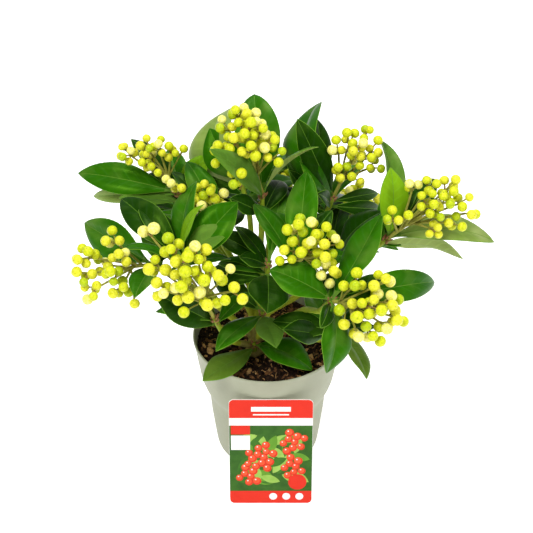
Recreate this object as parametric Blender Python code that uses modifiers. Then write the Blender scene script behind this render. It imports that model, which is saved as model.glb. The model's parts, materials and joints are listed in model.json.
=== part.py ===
"""Skimmia in a flared pot, in young fruit: pot, compost, card, main stem, boughs and leafy shoots.

Metres, +Z up. The origin is the centre of the pot's flat underside, and the plant's front faces -Y.
Each shoot is one solid: a stem, its leaves and its bunches of berries. It stands 0.3 mm clear of its bough.
"""

import math
import random
from collections import namedtuple

import bmesh
import bpy
from mathutils import Matrix, Vector
from mathutils.bvhtree import BVHTree

# Driving sizes
MM = 0.001
GAP = 0.0003
CLEAR = 0.0005

POT_HEIGHT = 0.120
POT_RIM_RADIUS = 0.064
POT_SHOULDER_RADIUS = 0.0516
POT_SHOULDER_HEIGHT = 0.057
POT_FOOT_RADIUS = 0.044
POT_WALL = 0.0016
POT_FLOOR = 0.003
POT_STEPS = 28

COMPOST_LEVEL = 0.110
COMPOST_LUMP = 0.0016
STEM_LEVEL_RADIUS = 0.024
COMPOST_RINGS = 5

CARD_WIDTH = 0.070
CARD_HEIGHT = 0.1015
CARD_THICKNESS = 0.0008
CARD_CORNER = 0.004
CARD_LEAN = math.radians(13)
CARD_LIFT = 0.0006
CARD_SHIFT = 0.0028

STEM_SIDES_FINE = 3
STEM_SIDES_COARSE = 1
BOUGH_END = 0.004
SHOOT_FOOT_RADIUS = 0.0023
SHOOT_TIP_RADIUS = 0.0018

LEAF_WIDEST = 0.56
LEAF_THICKNESS = 0.0011
PETIOLE_HALF_WIDTH = 0.0012
LEAF_STATIONS = (0.0, 0.26, 0.58, 0.86, 1.0)
SHORT_LEAF_STATIONS = (0.0, 0.32, 0.74, 1.0)
SHORT_LEAF = 53

# A bunch is one body: its radius is this share of a berry's, and a step more for each berry in it
BUNCH_SHARE = (0.95, 0.14)
HEAD_REACH = 0.55
FLOWER_STEM_RADIUS = 0.0016
STALK_RADII = (0.0006, 0.0010)
GOLDEN_TURN = math.radians(137.5)
SEED = 41

# A leaf leaves its shoot's stem so many mm below the top, along a heading and a rise in degrees.
# Heading 0 is +X and 90 is +Y. Roll turns the blade about its midrib, arch lifts the middle of the
# midrib by that share of the length, and fold raises each half of the blade.
Leaf = namedtuple("Leaf", "below heading rise roll length width arch fold")
# A berry head: the berries' radius in mm, and bunches, each a centre in mm and its number of berries.
Fruit = namedtuple("Fruit", "radius bunches")
# Filler leaves spiral down the stem, and only those with a heading between low and high are kept.
Filler = namedtuple("Filler", "count low high length")
Shoot = namedtuple("Shoot", "name top foot leaves fruit filler")
# A bough leaves its parent limb at a share of that limb's length and runs to its shoot's foot.
Bough = namedtuple("Bough", "name parent share via tip radius")

SHOOTS = (
    Shoot("crown", (-4, 22, 248), (-5, 16, 222), (
        Leaf(2, 96, 40, 5, 88, 38, 0.07, 12),
        Leaf(4, -146, 52, 65, 76, 21, 0.10, 20),
        Leaf(0, -3, 46, 20, 62, 20, 0.08, 25),
        Leaf(18, -156, 38, 40, 35, 18, 0.03, 12),
    ), Fruit(4.6, (
        (-24, 22, 321, 3), (-15, 20, 315, 4), (-32, 17, 312, 4), (-17, 12, 312, 5), (-7, 16, 310, 5),
        (0, 11, 300, 4), (6, 7, 291, 3), (-14, 3, 299, 5), (-27, 8, 304, 3), (-37, 10, 297, 3),
        (-36, 7, 287, 2), (-25, -5, 278, 4), (-14, 30, 297, 5), (-4, 21, 295, 3))), Filler(5, 30, 175, 62)),
    Shoot("crown_back", (-23, 55, 240), (-17, 50, 220), (
        Leaf(9, 101, 40, 40, 67, 48, 0.30, 12),
        Leaf(2, 152, 58, 60, 50, 30, 0.15, 12),
        Leaf(15, 144, 28, 55, 40, 22, 0.08, 12),
    ), None, Filler(6, 20, 150, 62)),
    Shoot("upper_left", (-76, 45, 234), (-62, 38, 216), (
        Leaf(0, 166, 4, 40, 87, 28, 0.08, 12),
        Leaf(2, 156, -16, 60, 88, 14, 0.13, 12),
        Leaf(11, -176, 8, 5, 54, 20, 0.02, 20),
        Leaf(0, 136, 4, 35, 36, 14, 0.10, 12),
        Leaf(8, 52, 42, -15, 44, 22, 0.07, 12),
    ), Fruit(4.1, (
        (-114, 41, 274, 7), (-98, 43, 278, 5), (-97, 34, 266, 3), (-88, 41, 279, 5), (-78, 42, 275, 4),
        (-68, 42, 277, 1), (-85, 27, 262, 2), (-98, 51, 263, 4))), Filler(5, 60, 140, 62)),
    Shoot("middle_left", (-43, 18, 226), (-37, 15, 204), (
        Leaf(4, 120, 20, 0, 60, 24, 0.10, 12),
    ), Fruit(4.4, (
        (-62, 17, 261, 4), (-47, 10, 256, 5), (-39, 10, 248, 4), (-55, 4, 249, 4), (-73, 15, 258, 3),
        (-56, 24, 245, 3))), Filler(4, 60, 160, 55)),
    Shoot("far_left", (-93, -25, 211), (-76, -21, 197), (
        Leaf(0, 138, 2, 60, 81, 32, 0.0, 10),
        Leaf(3, -102, 6, -5, 49, 22, 0.05, 18),
    ), Fruit(4.6, (
        (-120, -35, 241, 4), (-142, -41, 229, 6), (-144, -47, 216, 5), (-114, -44, 232, 4),
        (-119, -53, 222, 4), (-137, -53, 205, 5), (-114, -53, 206, 5), (-105, -56, 198, 1),
        (-129, -32, 215, 4))), Filler(3, 20, 110, 50)),
    Shoot("left", (-67, -28, 219), (-58, -25, 198), (
        Leaf(7, 82, 46, 40, 67, 26, 0.12, 12),
        Leaf(5, 28, 42, -35, 63, 33, 0.09, 15),
        Leaf(0, 12, 28, 5, 45, 24, 0.13, 20),
        Leaf(0, 136, 18, 25, 76, 28, 0.10, 10),
    ), None, Filler(4, 60, 200, 55)),
    Shoot("front_left", (-43, -50, 176), (-38, -42, 158), (
        Leaf(14, -154, 44, 60, 73, 29, 0.02, 10),
        Leaf(10, 38, 26, -5, 36, 17, 0.06, 12),
    ), Fruit(5.1, (
        (-90, -54, 262, 2), (-71, -64, 252, 5), (-53, -66, 249, 5), (-63, -77, 249, 3), (-83, -70, 240, 4),
        (-64, -81, 237, 3), (-50, -76, 237, 3), (-42, -72, 237, 3), (-79, -78, 225, 4), (-63, -81, 224, 4),
        (-48, -83, 219, 3), (-64, -86, 213, 1), (-37, -82, 216, 2), (-30, -69, 232, 2), (-23, -76, 223, 2),
        (-61, -60, 228, 4))), Filler(5, 95, 190, 55)),
    Shoot("middle", (1, -12, 203), (-1, -14, 184), (
        Leaf(0, 90, 18, -10, 84, 24, 0.12, 12),
        Leaf(10, -82, -12, 15, 42, 35, 0.06, 10),
        Leaf(12, -58, -22, 5, 31, 15, 0.04, 10),
        Leaf(4, -174, 26, 20, 26, 17, 0.10, 10),
        Leaf(2, 150, 14, 20, 52, 21, 0.10, 10),
        Leaf(15, 160, -6, 50, 50, 20, 0.12, 10),
    ), None, Filler(4, 90, 180, 48)),
    Shoot("low_middle", (-4, -22, 160), (-6, -19, 146), (
        Leaf(5, -136, 2, 0, 59, 21, 0.08, 10),
        Leaf(5, -74, 0, 0, 42, 23, 0.08, 10),
        Leaf(0, 124, 12, 50, 60, 21, 0.11, 10),
    ), None, None),
    Shoot("low_front", (-11, -22, 126), (-11, -19.5, 117), (
        Leaf(1, -26, -8, -5, 54, 32, 0.12, 10),
        Leaf(6, -142, 2, 4, 60, 25, 0.02, 4),
    ), None, None),
    Shoot("front_middle", (24, -35, 220), (19, -29, 200), (
        Leaf(0, 83, 40, 10, 75, 27, 0.03, 12),
        Leaf(8, 124, 22, -5, 66, 21, 0.05, 18),
    ), Fruit(4.8, (
        (22, -43, 257, 5), (37, -43, 256, 5), (18, -50, 242, 5), (30, -55, 252, 3), (47, -48, 246, 6),
        (41, -58, 241, 3), (47, -57, 229, 5), (46, -61, 220, 1), (11, -54, 234, 1), (34, -37, 236, 4))), Filler(4, 20, 120, 55)),
    Shoot("front_right", (49, -70, 209), (42, -60, 192), (
        Leaf(0, 56, 30, 20, 83, 32, -0.02, 10),
        Leaf(0, 26, -8, -45, 96, 26, 0.14, 12),
        Leaf(0, 162, 20, 20, 53, 31, 0.08, 14),
        Leaf(0, -96, -54, 40, 56, 29, 0.14, 10),
        Leaf(5, -104, 0, 40, 31, 13, 0.07, 12),
    ), Fruit(4.9, (
        (68, -77, 232, 3), (57, -77, 228, 1), (84, -78, 230, 6), (60, -88, 211, 3), (70, -93, 210, 4),
        (77, -91, 220, 5), (92, -84, 218, 4), (96, -91, 209, 3), (90, -92, 201, 3), (79, -95, 195, 3),
        (67, -95, 195, 2), (81, -73, 207, 5))), Filler(4, -10, 80, 52)),
    Shoot("low_right", (55, -38, 152), (44, -32, 140), (
        Leaf(0, -60, -16, 25, 50, 24, 0.11, 10),
        Leaf(10, -144, 32, 50, 52, 21, 0.02, 12),
        Leaf(0, 180, 20, 35, 52, 22, 0.08, 12),
    ), None, Filler(4, -10, 130, 52)),
    Shoot("upper_right", (55, 40, 234), (47, 34, 214), (
        Leaf(5, -160, 57, 55, 52, 26, 0.06, 15),
        Leaf(3, -175, 68, 75, 81, 24, 0.05, 12),
        Leaf(6, 36, -12, -50, 54, 12, 0.10, 12),
        Leaf(10, -114, 46, 75, 39, 14, 0.08, 12),
        Leaf(10, 28, -20, -65, 55, 14, 0.14, 12),
    ), Fruit(4.3, (
        (78, 44, 290, 3), (66, 42, 286, 4), (57, 38, 280, 4), (71, 33, 283, 5), (86, 38, 280, 3),
        (77, 33, 274, 4), (86, 32, 267, 4), (62, 28, 264, 2), (71, 26, 259, 2), (55, 30, 264, 2),
        (72, 48, 268, 4))), Filler(5, 30, 160, 60)),
    Shoot("upper_middle", (33, 31, 244), (29, 27, 223), (
        Leaf(0, 78, 38, 15, 80, 40, 0.08, 10),
        Leaf(8, 88, 30, -5, 60, 31, 0.07, 12),
        Leaf(0, 78, 50, -45, 60, 27, 0.12, 12),
        Leaf(10, 162, 62, 5, 31, 16, 0.06, 12),
    ), None, Filler(3, 60, 130, 55)),
    Shoot("right", (56, 2, 196), (44, 0, 182), (
        Leaf(0, 12, 48, 5, 57, 32, 0.12, 12),
        Leaf(3, 84, 12, 15, 70, 22, 0.14, 12),
        Leaf(1, 60, 4, 0, 80, 24, 0.14, 12),
    ), None, Filler(4, -20, 80, 55)),
    Shoot("far_right", (96, -12, 227), (82, -11, 212), (
        Leaf(0, 94, 38, -25, 85, 30, 0.10, 50),
        Leaf(0, 88, 66, -15, 56, 25, 0.16, 12),
        Leaf(0, 48, 24, -25, 67, 23, 0.14, 12),
        Leaf(0, 0, -2, -15, 85, 28, 0.15, 12),
        Leaf(13, -12, 0, 55, 69, 30, 0.10, 12),
        Leaf(9, 8, -8, -20, 18, 6, 0.05, 12),
    ), Fruit(4.3, (
        (95, -33, 260, 4), (107, -30, 260, 1), (112, -14, 277, 3), (125, -15, 279, 4), (139, -18, 278, 5),
        (123, -26, 271, 5), (137, -29, 273, 3), (150, -23, 268, 3), (156, -27, 261, 2), (128, -30, 263, 4),
        (144, -31, 254, 4), (128, -33, 249, 4), (136, -11, 262, 5))), Filler(4, 40, 100, 60)),
    Shoot("back_left", (-55, 72, 190), (-47, 62, 176), (
        Leaf(2, 170, 10, 0, 68, 27, 0.10, 12),
    ), Fruit(4.6, (
        (-72, 96, 216, 6), (-58, 100, 210, 4), (-86, 90, 210, 4), (-70, 112, 206, 5), (-86, 106, 200, 4),
        (-56, 110, 198, 3))), Filler(9, 60, 200, 66)),
    Shoot("back", (4, 74, 198), (3, 66, 178), (
        Leaf(2, 80, 20, 0, 66, 27, 0.10, 12),
    ), Fruit(4.6, (
        (8, 100, 219, 6), (22, 100, 212, 4), (-6, 98, 212, 4), (10, 116, 209, 5), (-8, 112, 202, 4),
        (24, 112, 200, 3))), Filler(9, 20, 160, 66)),
    Shoot("back_right", (60, 70, 178), (52, 61, 165), (
        Leaf(2, 20, 10, 0, 68, 27, 0.10, 12),
    ), Fruit(4.6, (
        (78, 92, 203, 6), (92, 88, 197, 4), (64, 94, 197, 4), (82, 108, 193, 5), (66, 108, 187, 4),
        (95, 102, 186, 3))), Filler(9, -20, 130, 66)),
)

MAIN_STEM = ((-11, -13, 112.5), (-11, -11, 122), (-9, -5, 138), (-7, 2, 152))
MAIN_STEM_RADIUS = (6.0, 3.6)
MAIN_STEM_FLARE = 2.4

BOUGHS = (
    Bough("bough_crown", "main_stem", 0.80, ((-6, 8, 185),), "crown", 3.2),
    Bough("bough_crown_back", "bough_crown", 0.30, ((-13, 34, 192),), "crown_back", 2.4),
    Bough("bough_upper_left", "main_stem", 0.62, ((-28, 10, 172), (-48, 28, 196)), "upper_left", 3.0),
    Bough("bough_middle_left", "bough_crown", 0.10, ((-22, 8, 178),), "middle_left", 2.4),
    Bough("bough_far_left", "main_stem", 0.40, ((-32, -14, 150), (-56, -19, 178)), "far_left", 2.8),
    Bough("bough_left", "bough_far_left", 0.35, ((-44, -22, 176),), "left", 2.4),
    Bough("bough_front_left", "main_stem", 0.22, ((-22, -24, 128), (-33, -36, 142)), "front_left", 2.8),
    Bough("bough_middle", "main_stem", 0.92, ((-3, -8, 166),), "middle", 2.6),
    Bough("bough_low_middle", "main_stem", 0.26, ((-8, -19, 130),), "low_middle", 2.3),
    Bough("bough_front_middle", "main_stem", 0.55, ((4, -14, 158), (13, -23, 180)), "front_middle", 2.7),
    Bough("bough_front_right", "main_stem", 0.30, ((8, -14, 138), (28, -28, 166)), "front_right", 2.8),
    Bough("bough_low_right", "bough_front_right", 0.32, ((26, -30, 140),), "low_right", 2.3),
    Bough("bough_upper_right", "bough_crown", 0.22, ((18, 16, 176), (36, 27, 198)), "upper_right", 2.7),
    Bough("bough_upper_middle", "bough_upper_right", 0.40, ((23, 22, 200),), "upper_middle", 2.4),
    Bough("bough_far_right", "main_stem", 0.72, ((20, -5, 160), (52, -9, 186)), "far_right", 2.8),
    Bough("bough_right", "bough_far_right", 0.36, ((32, -2, 172),), "right", 2.3),
    Bough("bough_back_left", "main_stem", 0.70, ((-24, 26, 156),), "back_left", 2.6),
    Bough("bough_back", "main_stem", 0.86, ((-3, 34, 164),), "back", 2.6),
    Bough("bough_back_right", "main_stem", 0.64, ((18, 24, 150),), "back_right", 2.6),
)

# Colours: red, green and blue, then roughness
POT_COLOUR = (0.50, 0.51, 0.42, 0.55)
COMPOST_COLOUR = (0.035, 0.018, 0.010, 0.95)
CARD_COLOUR = (0.60, 0.05, 0.04, 0.35)
BARK_COLOUR = (0.20, 0.17, 0.07, 0.75)
SHOOT_COLOUR = (0.05, 0.16, 0.02, 0.40)


def vec(point_mm):
    """A point in metres from one in millimetres."""
    return Vector(point_mm) * MM


def clear_scene():
    for obj in list(bpy.data.objects):
        bpy.data.objects.remove(obj, do_unlink=True)


def new_collection(name):
    collection = bpy.data.collections.new(name)
    bpy.context.scene.collection.children.link(collection)
    return collection


def material(name, colour):
    """A plain Principled finish from a colour and its roughness."""
    mat = bpy.data.materials.get(name) or bpy.data.materials.new(name)
    mat.use_nodes = True
    shader = mat.node_tree.nodes["Principled BSDF"]
    shader.inputs["Base Color"].default_value = (*colour[:3], 1.0)
    shader.inputs["Roughness"].default_value = colour[3]
    shader.inputs["Metallic"].default_value = 0.0
    return mat


def add_object(name, mesh, collection, finish=None):
    obj = bpy.data.objects.new(name, mesh)
    collection.objects.link(obj)
    if finish:
        mesh.materials.clear()
        mesh.materials.append(material(name + "_finish", finish))
    return obj


def evaluated_mesh(obj):
    """The object's mesh with its modifiers applied, in world space, loose caps welded."""
    bpy.context.view_layer.update()
    graph = bpy.context.evaluated_depsgraph_get()
    mesh = bpy.data.meshes.new_from_object(obj.evaluated_get(graph), depsgraph=graph)
    mesh.transform(obj.matrix_world)
    bm = bmesh.new()
    bm.from_mesh(mesh)
    bmesh.ops.remove_doubles(bm, verts=bm.verts, dist=1e-6)
    bmesh.ops.recalc_face_normals(bm, faces=bm.faces)
    bm.to_mesh(mesh)
    bm.free()
    return mesh


def keep_largest_piece(mesh):
    """Drop every loose scrap, so that the mesh is one body."""
    bm = bmesh.new()
    bm.from_mesh(mesh)
    left = set(bm.verts)
    pieces = []
    while left:
        piece = {left.pop()}
        edge_of_piece = list(piece)
        while edge_of_piece:
            vert = edge_of_piece.pop()
            for edge in vert.link_edges:
                other = edge.other_vert(vert)
                if other in left:
                    left.discard(other)
                    piece.add(other)
                    edge_of_piece.append(other)
        pieces.append(piece)
    pieces.sort(key=len, reverse=True)
    for piece in pieces[1:]:
        bmesh.ops.delete(bm, geom=list(piece), context="VERTS")
    bm.to_mesh(mesh)
    bm.free()
    return len(pieces)


# Pot, compost and card


def pot_outside():
    """The pot's outer profile from the rim down to the foot, as (radius, height)."""
    return [
        (POT_RIM_RADIUS, POT_HEIGHT),
        (POT_RIM_RADIUS, POT_HEIGHT - 0.002),
        (POT_RIM_RADIUS - 0.0012, POT_HEIGHT - 0.006),
        (0.0606, 0.097),
        (0.0544, 0.067),
        (POT_SHOULDER_RADIUS, POT_SHOULDER_HEIGHT),
        (0.0463, 0.008),
        (0.0454, 0.0028),
        (POT_FOOT_RADIUS, 0.0),
    ]


def outside_radius(height):
    """The pot's outer radius at a height."""
    profile = pot_outside()
    for (r_high, z_high), (r_low, z_low) in zip(profile, profile[1:]):
        if z_low <= height <= z_high:
            share = (height - z_low) / (z_high - z_low)
            return r_low + share * (r_high - r_low)
    return profile[-1][0]


def pot_inside():
    """The pot's inner profile from the floor's middle up to the rim."""
    wall = [(radius - POT_WALL, height) for radius, height in reversed(pot_outside()) if height > POT_FLOOR]
    return [(0.0, POT_FLOOR), (outside_radius(POT_FLOOR) - POT_WALL, POT_FLOOR)] + wall


def turned_mesh(name, profile, steps):
    """A turned solid: the profile's outer side runs from top to bottom."""
    mesh = bpy.data.meshes.new(name)
    points = [(radius, 0.0, height) for radius, height in profile]
    mesh.from_pydata(points, [(i, i + 1) for i in range(len(points) - 1)], [])
    obj = bpy.data.objects.new(name, mesh)
    bpy.context.scene.collection.objects.link(obj)
    screw = obj.modifiers.new("turn", "SCREW")
    screw.steps = screw.render_steps = steps
    screw.use_merge_vertices = True
    screw.merge_threshold = 0.00005
    turned = evaluated_mesh(obj)
    bpy.data.objects.remove(obj, do_unlink=True)
    bpy.data.meshes.remove(mesh)
    return turned


def make_pot(collection):
    mesh = turned_mesh("pot", pot_inside() + pot_outside() + [(0.0, 0.0)], POT_STEPS)
    return add_object("pot", mesh, collection, POT_COLOUR)


def make_compost(collection):
    """The compost fills the pot's inside, with a lumpy top that is level under the main stem."""
    edge = outside_radius(COMPOST_LEVEL) - POT_WALL - GAP * 1.6
    foot = outside_radius(POT_FLOOR) - POT_WALL - GAP * 1.6
    shoulder = POT_SHOULDER_RADIUS - POT_WALL - GAP * 1.6
    rings = [(edge * i / COMPOST_RINGS, COMPOST_LEVEL) for i in range(COMPOST_RINGS + 1)]
    flare = [(outside_radius(height) - POT_WALL - GAP * 1.6, height) for height in (0.097, 0.067)]
    profile = rings + flare + [(shoulder, POT_SHOULDER_HEIGHT), (foot, POT_FLOOR + GAP), (0.0, POT_FLOOR + GAP)]
    mesh = turned_mesh("compost", profile, POT_STEPS)
    rng = random.Random(SEED)
    stem = vec(MAIN_STEM[0])
    for vert in mesh.vertices:
        lump = rng.uniform(-0.7, 1.0) * COMPOST_LUMP
        reach = math.hypot(vert.co.x, vert.co.y)
        near_stem = math.hypot(vert.co.x - stem.x, vert.co.y - stem.y)
        if vert.co.z > COMPOST_LEVEL - 1e-5 and reach < edge - 1e-4:
            vert.co.z += lump * min(1.0, max(0.0, (near_stem - STEM_LEVEL_RADIUS) / 0.010))
    return add_object("compost", mesh, collection, COMPOST_COLOUR)


def make_card(collection):
    """A stiff card that stands on its foot and leans on the pot's rim."""
    half_width = CARD_WIDTH / 2 - CARD_CORNER
    corners = (
        (half_width, CARD_HEIGHT - CARD_CORNER, 0),
        (-half_width, CARD_HEIGHT - CARD_CORNER, 90),
        (-half_width, CARD_CORNER, 180),
        (half_width, CARD_CORNER, 270),
    )
    outline = []
    for x, y, start in corners:
        for step in range(4):
            angle = math.radians(start + 30 * step)
            outline.append((x + CARD_CORNER * math.cos(angle), y + CARD_CORNER * math.sin(angle)))
    curve = bpy.data.curves.new("picture_card", "CURVE")
    curve.dimensions = "2D"
    curve.fill_mode = "BOTH"
    curve.extrude = CARD_THICKNESS / 2
    spline = curve.splines.new("POLY")
    spline.points.add(len(outline) - 1)
    for point, (x, y) in zip(spline.points, outline):
        point.co = (x, y, 0.0, 1.0)
    spline.use_cyclic_u = True
    obj = add_object("picture_card_outline", curve, collection)
    top = CARD_HEIGHT * math.cos(CARD_LEAN) + CARD_LIFT
    foot_y = -outside_radius(top) - CARD_HEIGHT * math.sin(CARD_LEAN) - CARD_THICKNESS - GAP
    obj.rotation_euler = (math.radians(90) - CARD_LEAN, 0.0, 0.0)
    obj.location = (CARD_SHIFT, foot_y, CARD_LIFT)
    mesh = evaluated_mesh(obj)
    bpy.data.objects.remove(obj, do_unlink=True)
    return add_object("picture_card", mesh, collection, CARD_COLOUR)


# Main stem and boughs


def smooth_route(points, count):
    """Evenly spaced points on a Catmull-Rom curve through the given points."""
    ends = [points[0] * 2 - points[1]] + list(points) + [points[-1] * 2 - points[-2]]
    spans = len(points) - 1
    route = []
    for step in range(count + 1):
        place = spans * step / count
        span = min(int(place), spans - 1)
        t = place - span
        before, start, end, after = ends[span:span + 4]
        route.append(0.5 * (
            2 * start + (end - before) * t + (2 * before - 5 * start + 4 * end - after) * t * t
            + (3 * start - before - 3 * end + after) * t ** 3
        ))
    return route


def tube_mesh(route, radii, resolution):
    """A closed tapering tube along a route, from a bevelled curve with its caps welded."""
    curve = bpy.data.curves.new("limb", "CURVE")
    curve.dimensions = "3D"
    curve.bevel_depth = 1.0
    curve.bevel_resolution = resolution
    curve.use_fill_caps = True
    spline = curve.splines.new("POLY")
    spline.points.add(len(route) - 1)
    for point, place, radius in zip(spline.points, route, radii):
        point.co = (*place, 1.0)
        point.radius = radius
    obj = bpy.data.objects.new("limb", curve)
    bpy.context.scene.collection.objects.link(obj)
    mesh = evaluated_mesh(obj)
    bpy.data.objects.remove(obj, do_unlink=True)
    bpy.data.curves.remove(curve)
    return mesh


def boolean_mesh(mesh, operands, operation, solver):
    """The mesh joined with, or cut by, every operand mesh at once."""
    scratch = new_collection("operands")
    for operand in operands:
        add_object("operand", operand, scratch)
    obj = bpy.data.objects.new("body", mesh)
    bpy.context.scene.collection.objects.link(obj)
    boolean = obj.modifiers.new("boolean", "BOOLEAN")
    boolean.operation = operation
    boolean.operand_type = "COLLECTION"
    boolean.collection = scratch
    boolean.solver = solver
    result = evaluated_mesh(obj)
    for used in list(scratch.objects) + [obj]:
        bpy.data.objects.remove(used, do_unlink=True)
    bpy.data.collections.remove(scratch)
    return result


def tree_of(mesh, clearance=0.0):
    """A search tree of the mesh, grown outwards by a clearance."""
    points = [vert.co + vert.normal * clearance for vert in mesh.vertices]
    return BVHTree.FromPolygons(points, [tuple(face.vertices) for face in mesh.polygons])


class Limb:
    """A tapering limb: its route, its radii, its mesh and the search tree that others keep clear of."""

    def __init__(self, name, route, radii, resolution):
        self.name = name
        self.route = route
        self.radii = radii
        self.resolution = resolution
        self.mesh = tube_mesh(route, radii, resolution)
        self.tree = tree_of(self.mesh)

    def point_at(self, share):
        place = share * (len(self.route) - 1)
        index = min(int(place), len(self.route) - 2)
        return self.route[index].lerp(self.route[index + 1], place - index)

    def cutter(self):
        """The same limb, thicker and longer by the gap that a joined limb keeps."""
        start = self.route[0] + (self.route[0] - self.route[1]).normalized() * GAP
        end = self.route[-1] + (self.route[-1] - self.route[-2]).normalized() * GAP
        route = [start] + list(self.route[1:-1]) + [end]
        return tube_mesh(route, [radius + GAP * 1.3 for radius in self.radii], self.resolution)


def make_main_stem():
    """The stem stands on the compost on a flat cut, upright for its first stretch."""
    foot = Vector((MAIN_STEM[0][0] * MM, MAIN_STEM[0][1] * MM, COMPOST_LEVEL + GAP))
    route = [foot] + smooth_route([vec(point) for point in MAIN_STEM], 9)
    thick, thin = MAIN_STEM_RADIUS
    radii = []
    for step in range(len(route)):
        share = step / (len(route) - 1)
        flare = MAIN_STEM_FLARE * max(0.0, 1.0 - share * 4.5) ** 2
        radii.append((thick + (thin - thick) * share + flare) * MM)
    return Limb("main_stem", route, radii, STEM_SIDES_FINE)


def make_boughs(limbs):
    """Each bough starts on its parent's axis and is cut back to the gap around every limb it meets.

    Its last stretch lies along its shoot's stem, so that the two flat ends face each other.
    """
    shoots = {shoot.name: shoot for shoot in SHOOTS}
    for bough in BOUGHS:
        start = limbs[bough.parent].point_at(bough.share)
        foot = vec(shoots[bough.tip].foot)
        axis = (vec(shoots[bough.tip].top) - foot).normalized()
        points = [start] + [vec(point) for point in bough.via] + [foot - axis * BOUGH_END]
        route = smooth_route(points, 6) + [foot]
        radii = [(bough.radius + (SHOOT_FOOT_RADIUS / MM - bough.radius) * i / 7) * MM for i in range(8)]
        limb = Limb(bough.name, route, radii, STEM_SIDES_COARSE)
        cutters = [other.cutter() for other in limbs.values() if tree_of(other.cutter()).overlap(limb.tree)]
        limb.mesh = boolean_mesh(limb.mesh, cutters, "DIFFERENCE", "EXACT")
        keep_largest_piece(limb.mesh)
        limb.tree = tree_of(limb.mesh)
        limbs[bough.name] = limb


# Leaves


def blade_share(t):
    """A leaf's half width along its midrib, as a share of the widest: narrow foot, short tip."""
    if t < LEAF_WIDEST:
        return math.sin(math.pi / 2 * t / LEAF_WIDEST) ** 1.25
    return max(0.0, math.cos(math.pi / 2 * (t - LEAF_WIDEST) / (1 - LEAF_WIDEST))) ** 0.78


def leaf_axes(leaf):
    """The leaf's direction, its upper side's normal and its width direction."""
    heading, rise, roll = (math.radians(angle) for angle in (leaf.heading, leaf.rise, leaf.roll))
    along = Vector((math.cos(heading) * math.cos(rise), math.sin(heading) * math.cos(rise), math.sin(rise)))
    up = Vector((-math.cos(heading) * math.sin(rise), -math.sin(heading) * math.sin(rise), math.cos(rise)))
    across = up.cross(along)
    normal = up * math.cos(roll) + across * math.sin(roll)
    return along, normal, across * math.cos(roll) - up * math.sin(roll)


def leaf_mesh(base, leaf):
    """A closed blade: at each station its two edges, and the midrib above and below."""
    along, normal, across = leaf_axes(leaf)
    length = leaf.length * MM
    fold = math.radians(leaf.fold)
    bm = bmesh.new()
    rings = []
    stations = SHORT_LEAF_STATIONS if leaf.length < SHORT_LEAF else LEAF_STATIONS
    for t in stations[:-1]:
        middle = base + (along * t + normal * 4 * leaf.arch * t * (1 - t)) * length
        half = max(PETIOLE_HALF_WIDTH, leaf.width * MM / 2 * blade_share(t))
        lift = normal * half * math.sin(fold)
        side = across * half * math.cos(fold)
        rib = normal * LEAF_THICKNESS / 2
        rings.append([bm.verts.new(place) for place in (
            middle + side + lift, middle + rib, middle - side + lift, middle - rib)])
    tip = bm.verts.new(base + along * length)
    bm.faces.new(rings[0])
    for near, far in zip(rings, rings[1:]):
        for edge, rib in ((0, 1), (2, 1), (2, 3), (0, 3)):
            for corners in ((near[edge], near[rib], far[rib]), (near[edge], far[rib], far[edge])):
                bm.faces.new(corners)
    for i in range(4):
        bm.faces.new((rings[-1][i], rings[-1][(i + 1) % 4], tip))
    bmesh.ops.recalc_face_normals(bm, faces=bm.faces)
    mesh = bpy.data.meshes.new("leaf")
    bm.to_mesh(mesh)
    bm.free()
    return mesh


def nudges():
    """Small turns to try, nearest first, when a leaf would touch something."""
    turns = [(heading, rise) for heading in range(-16, 17, 4) for rise in range(-16, 17, 4)]
    return sorted(turns, key=lambda turn: (abs(turn[0]) + abs(turn[1]), turn))


NUDGES = nudges()


class Mass:
    """One shoot: its stem, and the leaves, twigs and bunches that are joined to it."""

    def __init__(self, shoot):
        self.shoot = shoot
        self.top = vec(shoot.top)
        self.foot = vec(shoot.foot)
        self.axis = (self.top - self.foot).normalized()
        start = self.foot + self.axis * GAP
        route = [start, start.lerp(self.top, 0.5), self.top]
        radii = [SHOOT_FOOT_RADIUS, (SHOOT_FOOT_RADIUS + SHOOT_TIP_RADIUS) / 2, SHOOT_TIP_RADIUS]
        self.stem = tube_mesh(route, radii, STEM_SIDES_COARSE)
        self.parts = []
        self.trees = [tree_of(self.stem)]
        self.bunches = []

    def add(self, mesh):
        self.parts.append(mesh)
        self.trees.append(tree_of(mesh))


def touches_others(mesh, own, masses, fixed):
    """Whether the mesh comes near a fixed piece or another shoot."""
    tree = tree_of(mesh, CLEAR)
    if any(other.overlap(tree) for other in fixed):
        return True
    for mass in masses:
        if mass is not own and any(other.overlap(tree) for other in mass.trees):
            return True
    return False


def place_leaf(mass, leaf, masses, fixed, turns):
    """Add the leaf where a small turn leaves it clear of the rest, or skip it."""
    base = mass.top - mass.axis * leaf.below * MM
    for heading, rise in turns:
        turned = leaf._replace(heading=leaf.heading + heading, rise=leaf.rise + rise)
        mesh = leaf_mesh(base, turned)
        near_berry = any(
            tree.find_nearest(spot, radius + CLEAR)[0] is not None
            for tree in (tree_of(mesh),) for other in masses for spot, radius in other.bunches)
        if not near_berry and not touches_others(mesh, mass, masses, fixed):
            mass.add(mesh)
            return True
        bpy.data.meshes.remove(mesh)
    return False


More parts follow.
